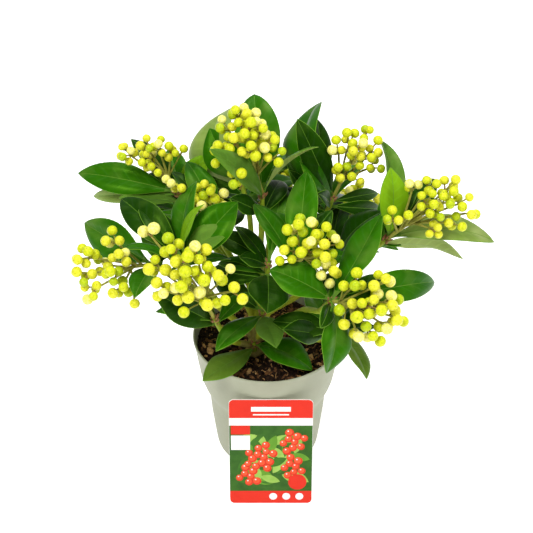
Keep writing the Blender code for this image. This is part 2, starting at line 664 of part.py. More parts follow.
def filler_leaves(shoot, rng):
    """Leaves that spiral down the stem, flatter and longer lower down, on the shoot's far side."""
    filler = shoot.filler
    span = (Vector(shoot.top) - Vector(shoot.foot)).length
    made = []
    step = 0
    while filler and len(made) < filler.count and step < 60:
        heading = math.degrees(step * GOLDEN_TURN) % 360
        share = (len(made) + 0.5) / filler.count
        step += 1
        if (heading - filler.low) % 360 <= (filler.high - filler.low):
            length = filler.length * rng.uniform(0.86, 1.08)
            made.append(Leaf(
                span * (0.12 + 0.75 * share), heading, 34 - 46 * share + rng.uniform(-6, 6),
                rng.uniform(-12, 12), length, length * rng.uniform(0.36, 0.42), rng.uniform(0.05, 0.12), 12))
    return made


# Berries


def stick_mesh(start, end, thick, thin, sides):
    """A straight tapering twig with closed ends."""
    run = end - start
    bm = bmesh.new()
    turn = run.to_track_quat("Z", "Y").to_matrix().to_4x4()
    place = Matrix.Translation((start + end) / 2) @ turn
    bmesh.ops.create_cone(
        bm, cap_ends=True, segments=sides, radius1=thick, radius2=thin, depth=run.length, matrix=place)
    mesh = bpy.data.meshes.new("twig")
    bm.to_mesh(mesh)
    bm.free()
    return mesh


def bunch_mesh(spot, radius, stalk_side):
    """A faceted bunch of berries with one facet turned to its stalk."""
    bm = bmesh.new()
    bmesh.ops.create_icosphere(bm, subdivisions=1, radius=radius)
    bm.faces.ensure_lookup_table()
    facet = bm.faces[0].calc_center_median()
    turn = facet.rotation_difference(stalk_side).to_matrix().to_4x4()
    bm.transform(Matrix.Translation(spot) @ turn)
    mesh = bpy.data.meshes.new("bunch")
    bm.to_mesh(mesh)
    bm.free()
    return mesh


def head_middle(fruit):
    return vec(sum((Vector(bunch[:3]) for bunch in fruit.bunches), Vector()) / len(fruit.bunches))


def bunch_radius(fruit, index):
    """A bunch's radius grows with its number of berries, and stops short of the next bunch."""
    base, step = BUNCH_SHARE
    wanted = fruit.radius * (base + step * fruit.bunches[index][3])
    here = Vector(fruit.bunches[index][:3])
    gaps = [(here - Vector(other[:3])).length for i, other in enumerate(fruit.bunches) if i != index]
    return min([wanted] + [gap * 0.5 for gap in gaps]) * MM


def bunch_places(mass, masses, fixed):
    """Where each bunch can stand: moved a little outwards, or dropped, where it would touch the rest."""
    fruit = mass.shoot.fruit
    middle = head_middle(fruit)
    places = []
    for index, bunch in enumerate(fruit.bunches):
        radius = bunch_radius(fruit, index)
        spot = vec(bunch[:3])
        for _ in range(6):
            near = None
            for tree in fixed + [tree for other in masses if other is not mass for tree in other.trees]:
                found = tree.find_nearest(spot, radius + CLEAR)
                if found[0] is not None:
                    near = found[0]
                    break
            if near is None:
                places.append((spot, radius))
                break
            away = (spot - near) if (spot - near).length > 1e-5 else spot - middle
            spot = spot + away.normalized() * (radius + CLEAR - (spot - near).length + 0.0005)
    return places


def add_fruit(mass, masses, fixed):
    """Bunches on stalks that leave the flower stem one above another."""
    head = mass.top.lerp(head_middle(mass.shoot.fruit), HEAD_REACH)
    places = bunch_places(mass, masses, fixed)
    sticks = [stick_mesh(mass.top - mass.axis * 0.002, head, FLOWER_STEM_RADIUS, STALK_RADII[1], 4)]
    for step, (spot, radius) in enumerate(places):
        root = mass.top.lerp(head, 0.35 + 0.6 * step / len(places))
        stalk = stick_mesh(root, spot, *STALK_RADII, 3)
        if not touches_others(stalk, mass, masses, fixed):
            sticks += [stalk, bunch_mesh(spot, radius, root - spot)]
            mass.bunches.append((spot, radius))
    for stick in sticks:
        mass.add(stick)


def build_masses(fixed):
    masses = [Mass(shoot) for shoot in SHOOTS]
    rng = random.Random(SEED)
    skipped = []
    for mass in masses:
        for leaf in mass.shoot.leaves:
            if not place_leaf(mass, leaf, masses, fixed, NUDGES):
                skipped.append((mass.shoot.name, leaf))
    for mass in masses:
        if mass.shoot.fruit:
            add_fruit(mass, masses, fixed)
    for mass in masses:
        for leaf in filler_leaves(mass.shoot, rng):
            place_leaf(mass, leaf, masses, fixed, NUDGES[:13])
    return masses, skipped


def main():
    clear_scene()
    collection = new_collection("skimmia")
    pot = make_pot(collection)
    compost = make_compost(collection)
    card = make_card(collection)
    limbs = {"main_stem": make_main_stem()}
    make_boughs(limbs)
    fixed = [tree_of(obj.data) for obj in (pot, compost, card)] + [limb.tree for limb in limbs.values()]
    masses, skipped = build_masses(fixed)
    for limb in limbs.values():
        add_object(limb.name, limb.mesh, collection, BARK_COLOUR)
    for mass in masses:
        joined = boolean_mesh(mass.stem, mass.parts, "UNION", "MANIFOLD")
        keep_largest_piece(joined)
        add_object("shoot_" + mass.shoot.name, joined, collection, SHOOT_COLOUR)
    print("leaves skipped:", len(skipped))
    for name, leaf in skipped:
        print("  ", name, leaf)
    print("triangles:", sum(len(poly.vertices) - 2 for obj in collection.objects for poly in obj.data.polygons))


main()
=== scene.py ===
"""Looks of the potted skimmia: leaves, berries, stems, compost, pot and picture card.

Metres, +Z up, front towards -Y. Leaves and berries are placed by the same rule as in the solids.
"""
import json
import math
import random
from collections import namedtuple

import bmesh
import bpy
import numpy as np
from mathutils import Matrix, Vector, noise
from mathutils.bvhtree import BVHTree

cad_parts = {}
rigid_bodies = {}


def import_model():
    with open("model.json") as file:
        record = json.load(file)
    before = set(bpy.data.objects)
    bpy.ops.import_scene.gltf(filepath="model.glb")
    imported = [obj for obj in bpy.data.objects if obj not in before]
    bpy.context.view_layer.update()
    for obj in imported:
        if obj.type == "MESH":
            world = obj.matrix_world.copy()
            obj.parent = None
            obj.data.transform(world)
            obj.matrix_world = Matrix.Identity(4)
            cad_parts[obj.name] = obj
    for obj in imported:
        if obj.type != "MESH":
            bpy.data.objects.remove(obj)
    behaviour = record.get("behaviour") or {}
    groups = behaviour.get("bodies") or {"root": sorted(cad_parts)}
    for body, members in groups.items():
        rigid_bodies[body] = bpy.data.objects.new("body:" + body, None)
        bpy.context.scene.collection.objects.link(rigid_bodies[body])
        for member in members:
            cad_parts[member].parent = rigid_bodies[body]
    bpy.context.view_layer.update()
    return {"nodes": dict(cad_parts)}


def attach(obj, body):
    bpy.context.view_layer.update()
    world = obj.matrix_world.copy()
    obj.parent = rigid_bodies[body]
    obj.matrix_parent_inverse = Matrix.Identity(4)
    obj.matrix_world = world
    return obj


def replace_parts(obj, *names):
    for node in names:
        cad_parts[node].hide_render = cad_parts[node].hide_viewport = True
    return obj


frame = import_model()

# Sizes shared with the solids
MM = 0.001
GAP = 0.0003
CLEAR = 0.0005
POT_HEIGHT = 0.120
POT_RIM_RADIUS = 0.064
POT_WALL = 0.0016
POT_FLOOR = 0.003
COMPOST_LEVEL = 0.110
CARD_WIDTH = 0.070
CARD_HEIGHT = 0.1015
CARD_THICKNESS = 0.0008
CARD_CORNER = 0.004
CARD_LEAN = math.radians(13)
CARD_LIFT = 0.0006
CARD_SHIFT = 0.0028
BOUGH_END = 0.004
SHOOT_FOOT_RADIUS = 0.0023
SHOOT_TIP_RADIUS = 0.0018
LEAF_WIDEST = 0.56
LEAF_THICKNESS = 0.0011
PETIOLE_HALF_WIDTH = 0.0012
LEAF_STATIONS = (0.0, 0.26, 0.58, 0.86, 1.0)
SHORT_LEAF_STATIONS = (0.0, 0.32, 0.74, 1.0)
SHORT_LEAF = 53
BERRY_SOLID = (0.95, 0.14)
HEAD_REACH = 0.55
STALK_RADII = (0.0006, 0.0010)
GOLDEN_TURN = math.radians(137.5)
SEED = 41

# Sizes of what only shows here
LEAF_SKIN = 0.00045
RIB_HALF_WIDTH = 0.00036
MARGIN_WIDTH = 0.00036

# A leaf: so many mm below the stem's top, heading, rise and roll in degrees, length and width in mm,
# arch as a share of the length, fold in degrees, and its tone: dark, middle, lime, grey, olive or pale;
# grey and pale are painted sheen, a colour that stands in for glossy highlights on the blade.
Leaf = namedtuple("Leaf", "below heading rise roll length width arch fold tone", defaults=("m",))
FILLER_TONES = "dmmd"
# A berry head: the berries' radius in mm, and bunches, each a centre in mm and its number of berries.
Fruit = namedtuple("Fruit", "radius bunches")
Filler = namedtuple("Filler", "count low high length")
Shoot = namedtuple("Shoot", "name top foot leaves fruit filler")
# A bough: the shoot at its tip, the limb that it leaves and where, the points on its way in mm, and its radius.
Bough = namedtuple("Bough", "tip parent share via radius")

SHOOTS = (
    Shoot("crown", (-4, 22, 248), (-5, 16, 222), (
        (2, 96, 40, 5, 88, 38, 0.07, 12), (4, -146, 52, 65, 76, 21, 0.10, 20, "g"),
        (0, -3, 46, 20, 62, 20, 0.08, 25, "g"), (18, -156, 38, 40, 35, 18, 0.03, 12, "d"),
    ), Fruit(4.6, (
        (-24, 22, 321, 3), (-15, 20, 315, 4), (-32, 17, 312, 4), (-17, 12, 312, 5), (-7, 16, 310, 5),
        (0, 11, 300, 4), (6, 7, 291, 3), (-14, 3, 299, 5), (-27, 8, 304, 3), (-37, 10, 297, 3),
        (-36, 7, 287, 2), (-25, -5, 278, 4), (-14, 30, 297, 5), (-4, 21, 295, 3))), Filler(5, 30, 175, 62)),
    Shoot("crown_back", (-23, 55, 240), (-17, 50, 220), (
        (9, 103, 38, 58, 74, 60, 0.33, 12, "p"), (2, 154, 57, 62, 52, 34, 0.15, 12),
        (15, 144, 28, 55, 40, 22, 0.08, 12, "d"),
    ), None, Filler(6, 20, 130, 62)),
    Shoot("upper_left", (-76, 45, 234), (-62, 38, 216), (
        (0, 166, 4, 40, 87, 28, 0.08, 12), (2, 156, -16, 60, 88, 14, 0.13, 12, "p"),
        (11, -176, 8, 5, 54, 20, 0.02, 20, "g"), (0, 136, 4, 35, 36, 14, 0.10, 12, "d"),
        (8, 52, 42, -15, 44, 22, 0.07, 12, "l"),
    ), Fruit(4.1, (
        (-114, 41, 274, 7), (-98, 43, 278, 5), (-97, 34, 266, 3), (-88, 41, 279, 5), (-78, 42, 275, 4),
        (-68, 42, 277, 1), (-85, 27, 262, 2), (-98, 51, 263, 4))), Filler(5, 60, 140, 62)),
    Shoot("middle_left", (-43, 18, 226), (-37, 15, 204), (
        (4, 120, 20, 0, 60, 24, 0.10, 12),
    ), Fruit(4.4, (
        (-62, 17, 261, 4), (-47, 10, 256, 5), (-39, 10, 248, 4), (-55, 4, 249, 4), (-73, 15, 258, 3),
        (-56, 24, 245, 3))), Filler(4, 60, 160, 55)),
    Shoot("far_left", (-93, -25, 211), (-76, -21, 197), (
        (0, 138, 2, 60, 81, 32, 0.0, 10), (3, -102, 6, -5, 49, 22, 0.05, 18),
    ), Fruit(4.6, (
        (-120, -35, 241, 4), (-142, -41, 229, 6), (-144, -47, 216, 5), (-114, -44, 232, 4),
        (-119, -53, 222, 4), (-137, -53, 205, 5), (-114, -53, 206, 5), (-105, -56, 198, 1),
        (-129, -32, 215, 4))), Filler(3, 20, 110, 50)),
    Shoot("left", (-67, -28, 219), (-58, -25, 198), (
        (7, 82, 46, 40, 67, 26, 0.12, 12), (5, 28, 42, -35, 63, 33, 0.09, 15),
        (0, 12, 30, -30, 45, 24, 0.13, 20, "g"), (0, 136, 18, 25, 76, 28, 0.10, 10, "d"),
        (3, 45, 63, 34, 48, 26, 0.12, 12, "l"),
    ), None, Filler(4, 60, 200, 55)),
    Shoot("front_left", (-43, -50, 176), (-38, -42, 158), (
        (14, -154, 44, 60, 73, 29, 0.02, 10, "d"), (10, 38, 26, -5, 36, 17, 0.06, 12),
    ), Fruit(5.1, (
        (-90, -54, 262, 2), (-71, -64, 252, 5), (-53, -66, 249, 5), (-63, -77, 249, 3), (-83, -70, 240, 4),
        (-64, -81, 237, 3), (-50, -76, 237, 3), (-42, -72, 237, 3), (-79, -78, 225, 4), (-63, -81, 224, 4),
        (-48, -83, 219, 3), (-64, -86, 213, 1), (-37, -82, 216, 2), (-30, -69, 232, 2), (-23, -76, 223, 2),
        (-61, -60, 228, 4))), Filler(5, 95, 190, 55)),
    Shoot("middle", (1, -12, 203), (-1, -14, 184), (
        (0, 90, 18, -10, 84, 24, 0.12, 12), (10, -82, -12, 15, 42, 35, 0.06, 10, "d"),
        (12, -58, -22, 5, 31, 15, 0.04, 10, "d"), (4, -174, 26, 20, 26, 17, 0.10, 10, "d"),
        (2, 150, 14, 20, 52, 21, 0.10, 10, "d"), (15, 160, -6, 50, 50, 20, 0.12, 10, "d"),
    ), None, Filler(4, 90, 180, 48)),
    Shoot("low_middle", (-4, -22, 160), (-6, -19, 146), (
        (5, -136, 2, 0, 59, 21, 0.08, 10), (5, -74, 0, 0, 42, 23, 0.08, 10, "g"),
        (0, 124, 12, 50, 60, 21, 0.11, 10, "d"),
    ), None, None),
    Shoot("low_front", (-11, -22, 126), (-11, -19.5, 117), (
        (1, -26, -8, -5, 54, 32, 0.12, 10), (6, -142, 2, 4, 60, 25, 0.02, 4, "o"),
    ), None, None),
    Shoot("front_middle", (24, -35, 220), (19, -29, 200), (
        (0, 83, 40, 10, 75, 27, 0.03, 12), (8, 124, 22, -5, 66, 21, 0.05, 18),
    ), Fruit(4.8, (
        (22, -43, 257, 5), (37, -43, 256, 5), (18, -50, 242, 5), (30, -55, 252, 3), (47, -48, 246, 6),
        (41, -58, 241, 3), (47, -57, 229, 5), (46, -61, 220, 1), (11, -54, 234, 1), (34, -37, 236, 4))),
        Filler(4, 20, 120, 55)),
    Shoot("front_right", (49, -70, 209), (42, -60, 192), (
        (0, 56, 30, 20, 83, 32, -0.02, 10), (0, 26, -8, -45, 96, 26, 0.14, 12),
        (0, 162, 20, 20, 53, 31, 0.08, 14), (0, -96, -54, 40, 56, 29, 0.14, 10),
        (5, -104, 0, 40, 31, 13, 0.07, 12, "d"),
    ), Fruit(4.9, (
        (68, -77, 232, 3), (57, -77, 228, 1), (84, -78, 230, 6), (60, -88, 211, 3), (70, -93, 210, 4),
        (77, -91, 220, 5), (92, -84, 218, 4), (96, -91, 209, 3), (90, -92, 201, 3), (79, -95, 195, 3),
        (67, -95, 195, 2), (81, -73, 207, 5))), Filler(4, -10, 80, 52)),
    Shoot("low_right", (55, -38, 152), (44, -32, 140), (
        (0, -60, -16, 25, 50, 24, 0.11, 10, "o"), (10, -144, 32, 50, 52, 21, 0.02, 12, "d"),
        (0, 180, 20, 35, 52, 22, 0.08, 12, "d"),
    ), None, Filler(4, -10, 130, 52)),
    Shoot("upper_right", (55, 40, 234), (47, 34, 214), (
        (5, -160, 57, 55, 52, 26, 0.06, 15), (3, -175, 68, 75, 81, 24, 0.05, 12, "d"),
        (6, 36, -12, -50, 54, 12, 0.10, 12, "d"), (10, -114, 46, 75, 39, 14, 0.08, 12, "d"),
        (10, 28, -20, -65, 55, 14, 0.14, 12, "d"),
    ), Fruit(4.3, (
        (78, 44, 290, 3), (66, 42, 286, 4), (57, 38, 280, 4), (71, 33, 283, 5), (86, 38, 280, 3),
        (77, 33, 274, 4), (86, 32, 267, 4), (62, 28, 264, 2), (71, 26, 259, 2), (55, 30, 264, 2),
        (72, 48, 268, 4))), Filler(5, 30, 160, 60)),
    Shoot("upper_middle", (33, 31, 244), (29, 27, 223), (
        (0, 80, 38, 45, 80, 44, 0.16, 12), (8, 88, 30, -5, 60, 31, 0.07, 12, "d"),
        (0, 78, 50, -45, 60, 27, 0.12, 12, "d"), (10, 162, 62, 5, 31, 16, 0.06, 12, "d"),
    ), None, Filler(3, 60, 130, 55)),
    Shoot("right", (56, 2, 196), (44, 0, 182), (
        (0, 12, 48, 5, 57, 32, 0.12, 12, "d"), (3, 84, 12, 15, 70, 22, 0.14, 12, "d"),
        (1, 60, 4, 0, 80, 24, 0.14, 12, "d"),
    ), None, Filler(4, -20, 80, 55)),
    Shoot("far_right", (96, -12, 227), (82, -11, 212), (
        (0, 94, 38, -25, 85, 30, 0.10, 50, "g"), (0, 88, 66, -15, 56, 25, 0.16, 12, "l"),
        (0, 48, 24, -25, 67, 23, 0.14, 12, "d"), (0, 0, -2, -15, 85, 28, 0.15, 12, "p"),
        (13, -12, 0, 55, 69, 30, 0.10, 12, "p"), (9, 8, -8, -20, 18, 6, 0.05, 12),
    ), Fruit(4.3, (
        (95, -33, 260, 4), (107, -30, 260, 1), (112, -14, 277, 3), (125, -15, 279, 4), (139, -18, 278, 5),
        (123, -26, 271, 5), (137, -29, 273, 3), (150, -23, 268, 3), (156, -27, 261, 2), (128, -30, 263, 4),
        (144, -31, 254, 4), (128, -33, 249, 4), (136, -11, 262, 5))), Filler(4, 40, 100, 60)),
    Shoot("back_left", (-55, 72, 190), (-47, 62, 176), (
        (2, 170, 10, 0, 68, 27, 0.10, 12),
    ), Fruit(4.6, (
        (-72, 96, 216, 6), (-58, 100, 210, 4), (-86, 90, 210, 4), (-70, 112, 206, 5), (-86, 106, 200, 4),
        (-56, 110, 198, 3))), Filler(9, 60, 200, 66)),
    Shoot("back", (4, 74, 198), (3, 66, 178), (
        (2, 80, 20, 0, 66, 27, 0.10, 12),
    ), Fruit(4.6, (
        (8, 100, 219, 6), (22, 100, 212, 4), (-6, 98, 212, 4), (10, 116, 209, 5), (-8, 112, 202, 4),
        (24, 112, 200, 3))), Filler(9, 20, 160, 66)),
    Shoot("back_right", (60, 70, 178), (52, 61, 165), (
        (2, 20, 10, 0, 68, 27, 0.10, 12),
    ), Fruit(4.6, (
        (78, 92, 203, 6), (92, 88, 197, 4), (64, 94, 197, 4), (82, 108, 193, 5), (66, 108, 187, 4),
        (95, 102, 186, 3))), Filler(9, -20, 130, 66)),
)
MAIN_STEM = ((-11, -13, 112.5), (-11, -11, 122), (-9, -5, 138), (-7, 2, 152))
MAIN_STEM_RADIUS = (6.0, 3.6)
MAIN_STEM_FLARE = 2.4

BOUGHS = (
    Bough("crown", "main_stem", 0.80, ((-6, 8, 185),), 3.2),
    Bough("crown_back", "crown", 0.30, ((-13, 34, 192),), 2.4),
    Bough("upper_left", "main_stem", 0.62, ((-28, 10, 172), (-48, 28, 196)), 3.0),
    Bough("middle_left", "crown", 0.10, ((-22, 8, 178),), 2.4),
    Bough("far_left", "main_stem", 0.40, ((-32, -14, 150), (-56, -19, 178)), 2.8),
    Bough("left", "far_left", 0.35, ((-44, -22, 176),), 2.4),
    Bough("front_left", "main_stem", 0.22, ((-22, -24, 128), (-33, -36, 142)), 2.8),
    Bough("middle", "main_stem", 0.92, ((-3, -8, 166),), 2.6),
    Bough("low_middle", "main_stem", 0.26, ((-8, -19, 130),), 2.3),
    Bough("front_middle", "main_stem", 0.55, ((4, -14, 158), (13, -23, 180)), 2.7),
    Bough("front_right", "main_stem", 0.30, ((8, -14, 138), (28, -28, 166)), 2.8),
    Bough("low_right", "front_right", 0.32, ((26, -30, 140),), 2.3),
    Bough("upper_right", "crown", 0.22, ((18, 16, 176), (36, 27, 198)), 2.7),
    Bough("upper_middle", "upper_right", 0.40, ((23, 22, 200),), 2.4),
    Bough("far_right", "main_stem", 0.72, ((20, -5, 160), (52, -9, 186)), 2.8),
    Bough("right", "far_right", 0.36, ((32, -2, 172),), 2.3),
    Bough("back_left", "main_stem", 0.70, ((-24, 26, 156),), 2.6),
    Bough("back", "main_stem", 0.86, ((-3, 34, 164),), 2.6),
    Bough("back_right", "main_stem", 0.64, ((18, 24, 150),), 2.6),
)
BOUGH_NODES = ["bough_" + bough.tip for bough in BOUGHS]
SHOOT_NODES = ["shoot_" + shoot.name for shoot in SHOOTS]


def vec(point_mm):
    return Vector(point_mm) * MM


def add_object(name, data):
    obj = bpy.data.objects.new(name, data)
    bpy.context.scene.collection.objects.link(obj)
    return obj


# Finishes

WHITE = (1, 1, 1, 1)
NOISE_ROUGHNESS = 0.55
BUMP_STRENGTH = 0.6
LEAF_SHEEN = (0.32, 0.66, 0.05, 1)
BERRY_SHEEN = (1.0, 1.0, 0.45, 1)
BARK_SHEEN = (0.9, 0.85, 0.4, 1)
# Size of the painted sheen patches: pale colour on the leaves in place of glossy highlights.
PAINTED_SHEEN_SCALE = 34
VEINS_IN_RELIEF = 0.35


def new_group(name, inputs, outputs):
    """An empty shader group, and the sockets that it is given and that it makes."""
    group = bpy.data.node_groups.new(name, "ShaderNodeTree")
    for label, value in inputs.items():
        kind = "NodeSocketColor" if isinstance(value, tuple) else "NodeSocketFloat"
        group.interface.new_socket(label, in_out="INPUT", socket_type=kind).default_value = value
    for label in outputs:
        kind = "NodeSocketColor" if label == "Colour" else "NodeSocketFloat"
        group.interface.new_socket(label, in_out="OUTPUT", socket_type=kind)
    return group, group.nodes.new("NodeGroupInput").outputs, group.nodes.new("NodeGroupOutput").inputs


def math_node(tree, operation, first, second=None, clamp=False):
    node = tree.nodes.new("ShaderNodeMath")
    node.operation = operation
    node.use_clamp = clamp
    for socket, value in zip(node.inputs, (first, second)):
        if isinstance(value, bpy.types.NodeSocket):
            tree.links.new(value, socket)
        elif value is not None:
            socket.default_value = value
    return node.outputs[0]


def noise_node(tree, scale, detail):
    """Noise over the object's own coordinates, in metres."""
    place = tree.nodes.new("ShaderNodeTexCoord")
    node = tree.nodes.new("ShaderNodeTexNoise")
    node.inputs["Detail"].default_value = detail
    node.inputs["Roughness"].default_value = NOISE_ROUGHNESS
    tree.links.new(place.outputs["Object"], node.inputs["Vector"])
    if isinstance(scale, bpy.types.NodeSocket):
        tree.links.new(scale, node.inputs["Scale"])
    else:
        node.inputs["Scale"].default_value = scale
    return node.outputs["Fac"]


def colour_mix(tree, share, first, second):
    node = tree.nodes.new("ShaderNodeMix")
    node.data_type = "RGBA"
    for socket, value in ((node.inputs["Factor"], share), (node.inputs["A"], first), (node.inputs["B"], second)):
        target = socket
        if socket.name in ("A", "B"):
            target = next(s for s in node.inputs if s.name == socket.name and s.type == "RGBA")
        if isinstance(value, bpy.types.NodeSocket):
            tree.links.new(value, target)
        else:
            target.default_value = value
    return next(s for s in node.outputs if s.type == "RGBA")


def mottle_group():
    """Two colours that run into each other in soft patches."""
    group, given, made = new_group(
        "mottle", {"First": WHITE, "Second": WHITE, "Scale": 40.0, "Softness": 0.5}, ["Colour"])
    patch = noise_node(group, given["Scale"], 3.0)
    low = math_node(group, "SUBTRACT", patch, 0.5)
    share = math_node(group, "ADD", math_node(group, "DIVIDE", low, given["Softness"]), 0.5, True)
    colour = colour_mix(group, share, given["First"], given["Second"])
    group.links.new(colour, made["Colour"])
    return group


def grain_group():
    """Fine relief and the roughness that goes with it."""
    group, given, made = new_group(
        "grain", {"Scale": 900.0, "Roughness": 0.5, "Spread": 0.1}, ["Height", "Roughness"])
    fine = noise_node(group, given["Scale"], 4.0)
    swing = math_node(group, "MULTIPLY", math_node(group, "SUBTRACT", fine, 0.5), given["Spread"])
    group.links.new(fine, made["Height"])
    group.links.new(math_node(group, "ADD", swing, given["Roughness"], True), made["Roughness"])
    return group


def vein_group():
    """Side veins of a leaf, from its own coordinates: across from 0 to 1, and along from 0 to 1."""
    group, given, made = new_group("side_veins", {"Pairs": 9.0, "Sweep": 1.5}, ["Height", "Vein"])
    coords = group.nodes.new("ShaderNodeUVMap")
    coords.uv_map = "blade"
    split = group.nodes.new("ShaderNodeSeparateXYZ")
    group.links.new(coords.outputs["UV"], split.inputs[0])

    def sum_of(operation, first, second=None, clamp=False):
        return math_node(group, operation, first, second, clamp)

    off_rib = sum_of("MULTIPLY", sum_of("ABSOLUTE", sum_of("SUBTRACT", split.outputs["X"], 0.5)), 2.0)
    run = sum_of("MULTIPLY", split.outputs["Y"], given["Pairs"])
    run = sum_of("SUBTRACT", run, sum_of("MULTIPLY", off_rib, given["Sweep"]))
    wave = sum_of("COSINE", sum_of("MULTIPLY", run, 2 * math.pi))
    peak = sum_of("POWER", sum_of("ADD", sum_of("MULTIPLY", wave, 0.5), 0.5), 8.0)
    fade = sum_of("SUBTRACT", 1.0, sum_of("POWER", off_rib, 2.0), True)
    vein = sum_of("MULTIPLY", peak, fade)
    group.links.new(vein, made["Vein"])
    group.links.new(sum_of("MULTIPLY", vein, -1.0), made["Height"])
    return group


def painted_sheen_group():
    """A painted sheen: a pale colour that lies on a colour in wide soft patches, in place of glossy highlights."""
    group, given, made = new_group(
        "painted_sheen", {"Colour": WHITE, "Bloom": WHITE, "Amount": 0.5, "Scale": 30.0}, ["Colour"])
    patch = noise_node(group, given["Scale"], 2.0)
    share = math_node(group, "DIVIDE", math_node(group, "SUBTRACT", patch, 0.52), 0.16, True)
    share = math_node(group, "MULTIPLY", share, given["Amount"])
    group.links.new(colour_mix(group, share, given["Colour"], given["Bloom"]), made["Colour"])
    return group


GROUPS = {
    "mottle": mottle_group(), "grain": grain_group(), "side_veins": vein_group(), "painted_sheen": painted_sheen_group()}


def place_group(tree, name, **values):
    node = tree.nodes.new("ShaderNodeGroup")
    node.node_tree = GROUPS[name]
    for key, value in values.items():
        node.inputs[key].default_value = value
    return node


def finish(name, first, second, patches, softness, roughness, grain, depth, spread=0.1, veins=0.0, painted_sheen=None,
           **plain):
    """A Principled finish: mottled colour and fine grain, with side veins and painted sheen patches where it is a
    leaf's.
    """
    mat = bpy.data.materials.new(name)
    mat.use_nodes = True
    tree = mat.node_tree
    shader = tree.nodes["Principled BSDF"]
    mottle = place_group(tree, "mottle", First=(*first, 1), Second=(*second, 1), Scale=patches, Softness=softness)
    fine = place_group(tree, "grain", Scale=grain, Roughness=roughness, Spread=spread)
    colour = mottle.outputs["Colour"]
    height = fine.outputs["Height"]
    if veins:
        pattern = place_group(tree, "side_veins")
        lit = tuple(min(1.0, c * 1.5 + 0.012) for c in first)
        colour = colour_mix(tree, math_node(tree, "MULTIPLY", pattern.outputs["Vein"], veins), colour, (*lit, 1))
        height = math_node(tree, "MULTIPLY", height, VEINS_IN_RELIEF)
        height = math_node(tree, "ADD", height, pattern.outputs["Height"])
    # Painted sheen: a pale colour mixed in soft patches, standing in for glossy highlights.
    if painted_sheen:
        sheen_node = place_group(tree, "painted_sheen", Bloom=(*painted_sheen[:3], 1), Amount=painted_sheen[3], Scale=PAINTED_SHEEN_SCALE)
        tree.links.new(colour, sheen_node.inputs["Colour"])
        colour = sheen_node.outputs["Colour"]
    bump = tree.nodes.new("ShaderNodeBump")
    bump.inputs["Strength"].default_value = BUMP_STRENGTH
    bump.inputs["Distance"].default_value = depth
    tree.links.new(height, bump.inputs["Height"])
    tree.links.new(colour, shader.inputs["Base Color"])
    tree.links.new(fine.outputs["Roughness"], shader.inputs["Roughness"])
    tree.links.new(bump.outputs["Normal"], shader.inputs["Normal"])
    for key, value in plain.items():
        shader.inputs[key.replace("_", " ")].default_value = value
    return mat


def leaf_finish(name, first, second, roughness, veins, painted_sheen=None, gloss=0.30):
    return finish(name, first, second, patches=55, softness=0.5, roughness=roughness, grain=1400, depth=0.00012,
                  spread=0.12, veins=veins, painted_sheen=painted_sheen, Specular_IOR_Level=gloss, Specular_Tint=LEAF_SHEEN)


def berry_finish(name, first, second):
    return finish(name, first, second, patches=620, softness=0.35, roughness=0.36, grain=2500, depth=0.00006,
                  Specular_IOR_Level=0.35, Specular_Tint=BERRY_SHEEN)


def card_finish(name, first, second):
    return finish(name, first, second, patches=140, softness=0.5, roughness=0.36, grain=2600, depth=0.00003,
                  Specular_IOR_Level=0.15)


def bark_finish(name, first, second, depth):
    return finish(name, first, second, patches=200, softness=0.4, roughness=0.6, grain=1300, depth=depth,
                  Specular_IOR_Level=0.20, Specular_Tint=BARK_SHEEN)


def soil_finish(name, first, second, depth):
    return finish(name, first, second, patches=480, softness=0.3, roughness=0.9, grain=2200, depth=depth,
                  Specular_IOR_Level=0.12)


# Finishes by mark: a name, two colours that run into each other, and what else the kind of finish takes.
# The card's are named after their marks.
# In a leaf row, after roughness and veins, comes a painted sheen: a pale colour and its share, laid on in patches as
# painted highlights.
LEAF_TONES = {
    # Pale tone: painted sheen, a whitish green in place of glossy highlights and reflections.
    "p": ("leaf_pale", (0.14, 0.225, 0.034), (0.23, 0.315, 0.07), 0.45, 0.4, (0.34, 0.4, 0.15, 0.6)),
    "d": ("leaf_dark", (0.004, 0.025, 0.0004), (0.01, 0.05, 0.001), 0.34, 0.35, (0.035, 0.08, 0.008, 0.5), 0.22),
    "m": ("leaf_green", (0.012, 0.08, 0.0005), (0.024, 0.125, 0.001), 0.34, 0.35, (0.095, 0.185, 0.022, 0.5)),
    "l": ("leaf_lime", (0.1, 0.235, 0.002), (0.16, 0.31, 0.006), 0.42, 0.4, (0.23, 0.36, 0.02, 0.5)),
    # Grey-green tone: painted sheen, a greyish green in place of glossy highlights.
    "g": ("leaf_grey_green", (0.048, 0.126, 0.009), (0.098, 0.188, 0.026), 0.42, 0.35, (0.2, 0.28, 0.08, 0.6)),
    "o": ("leaf_olive", (0.06, 0.125, 0.008), (0.1, 0.165, 0.022), 0.42, 0.35, (0.15, 0.21, 0.04, 0.5)),
    "under": ("leaf_underside", (0.23, 0.31, 0.07), (0.3, 0.37, 0.11), 0.55, 0.5),
    "rib": ("leaf_rib", (0.07, 0.17, 0.014), (0.11, 0.215, 0.03), 0.42, 0.0),
    "margin": ("leaf_margin", (0.09, 0.21, 0.012), (0.13, 0.26, 0.025), 0.4, 0.0),
}
BERRY_SKINS = {
    "berry": ("berry_lime", (0.44, 0.51, 0.004), (0.64, 0.665, 0.02)),
    "berry_gold": ("berry_gold", (0.54, 0.545, 0.006), (0.74, 0.72, 0.05)),
    "berry_cream": ("berry_cream", (0.72, 0.68, 0.08), (0.88, 0.83, 0.3)),
    "berry_green": ("berry_green", (0.3, 0.42, 0.004), (0.46, 0.55, 0.01)),
}
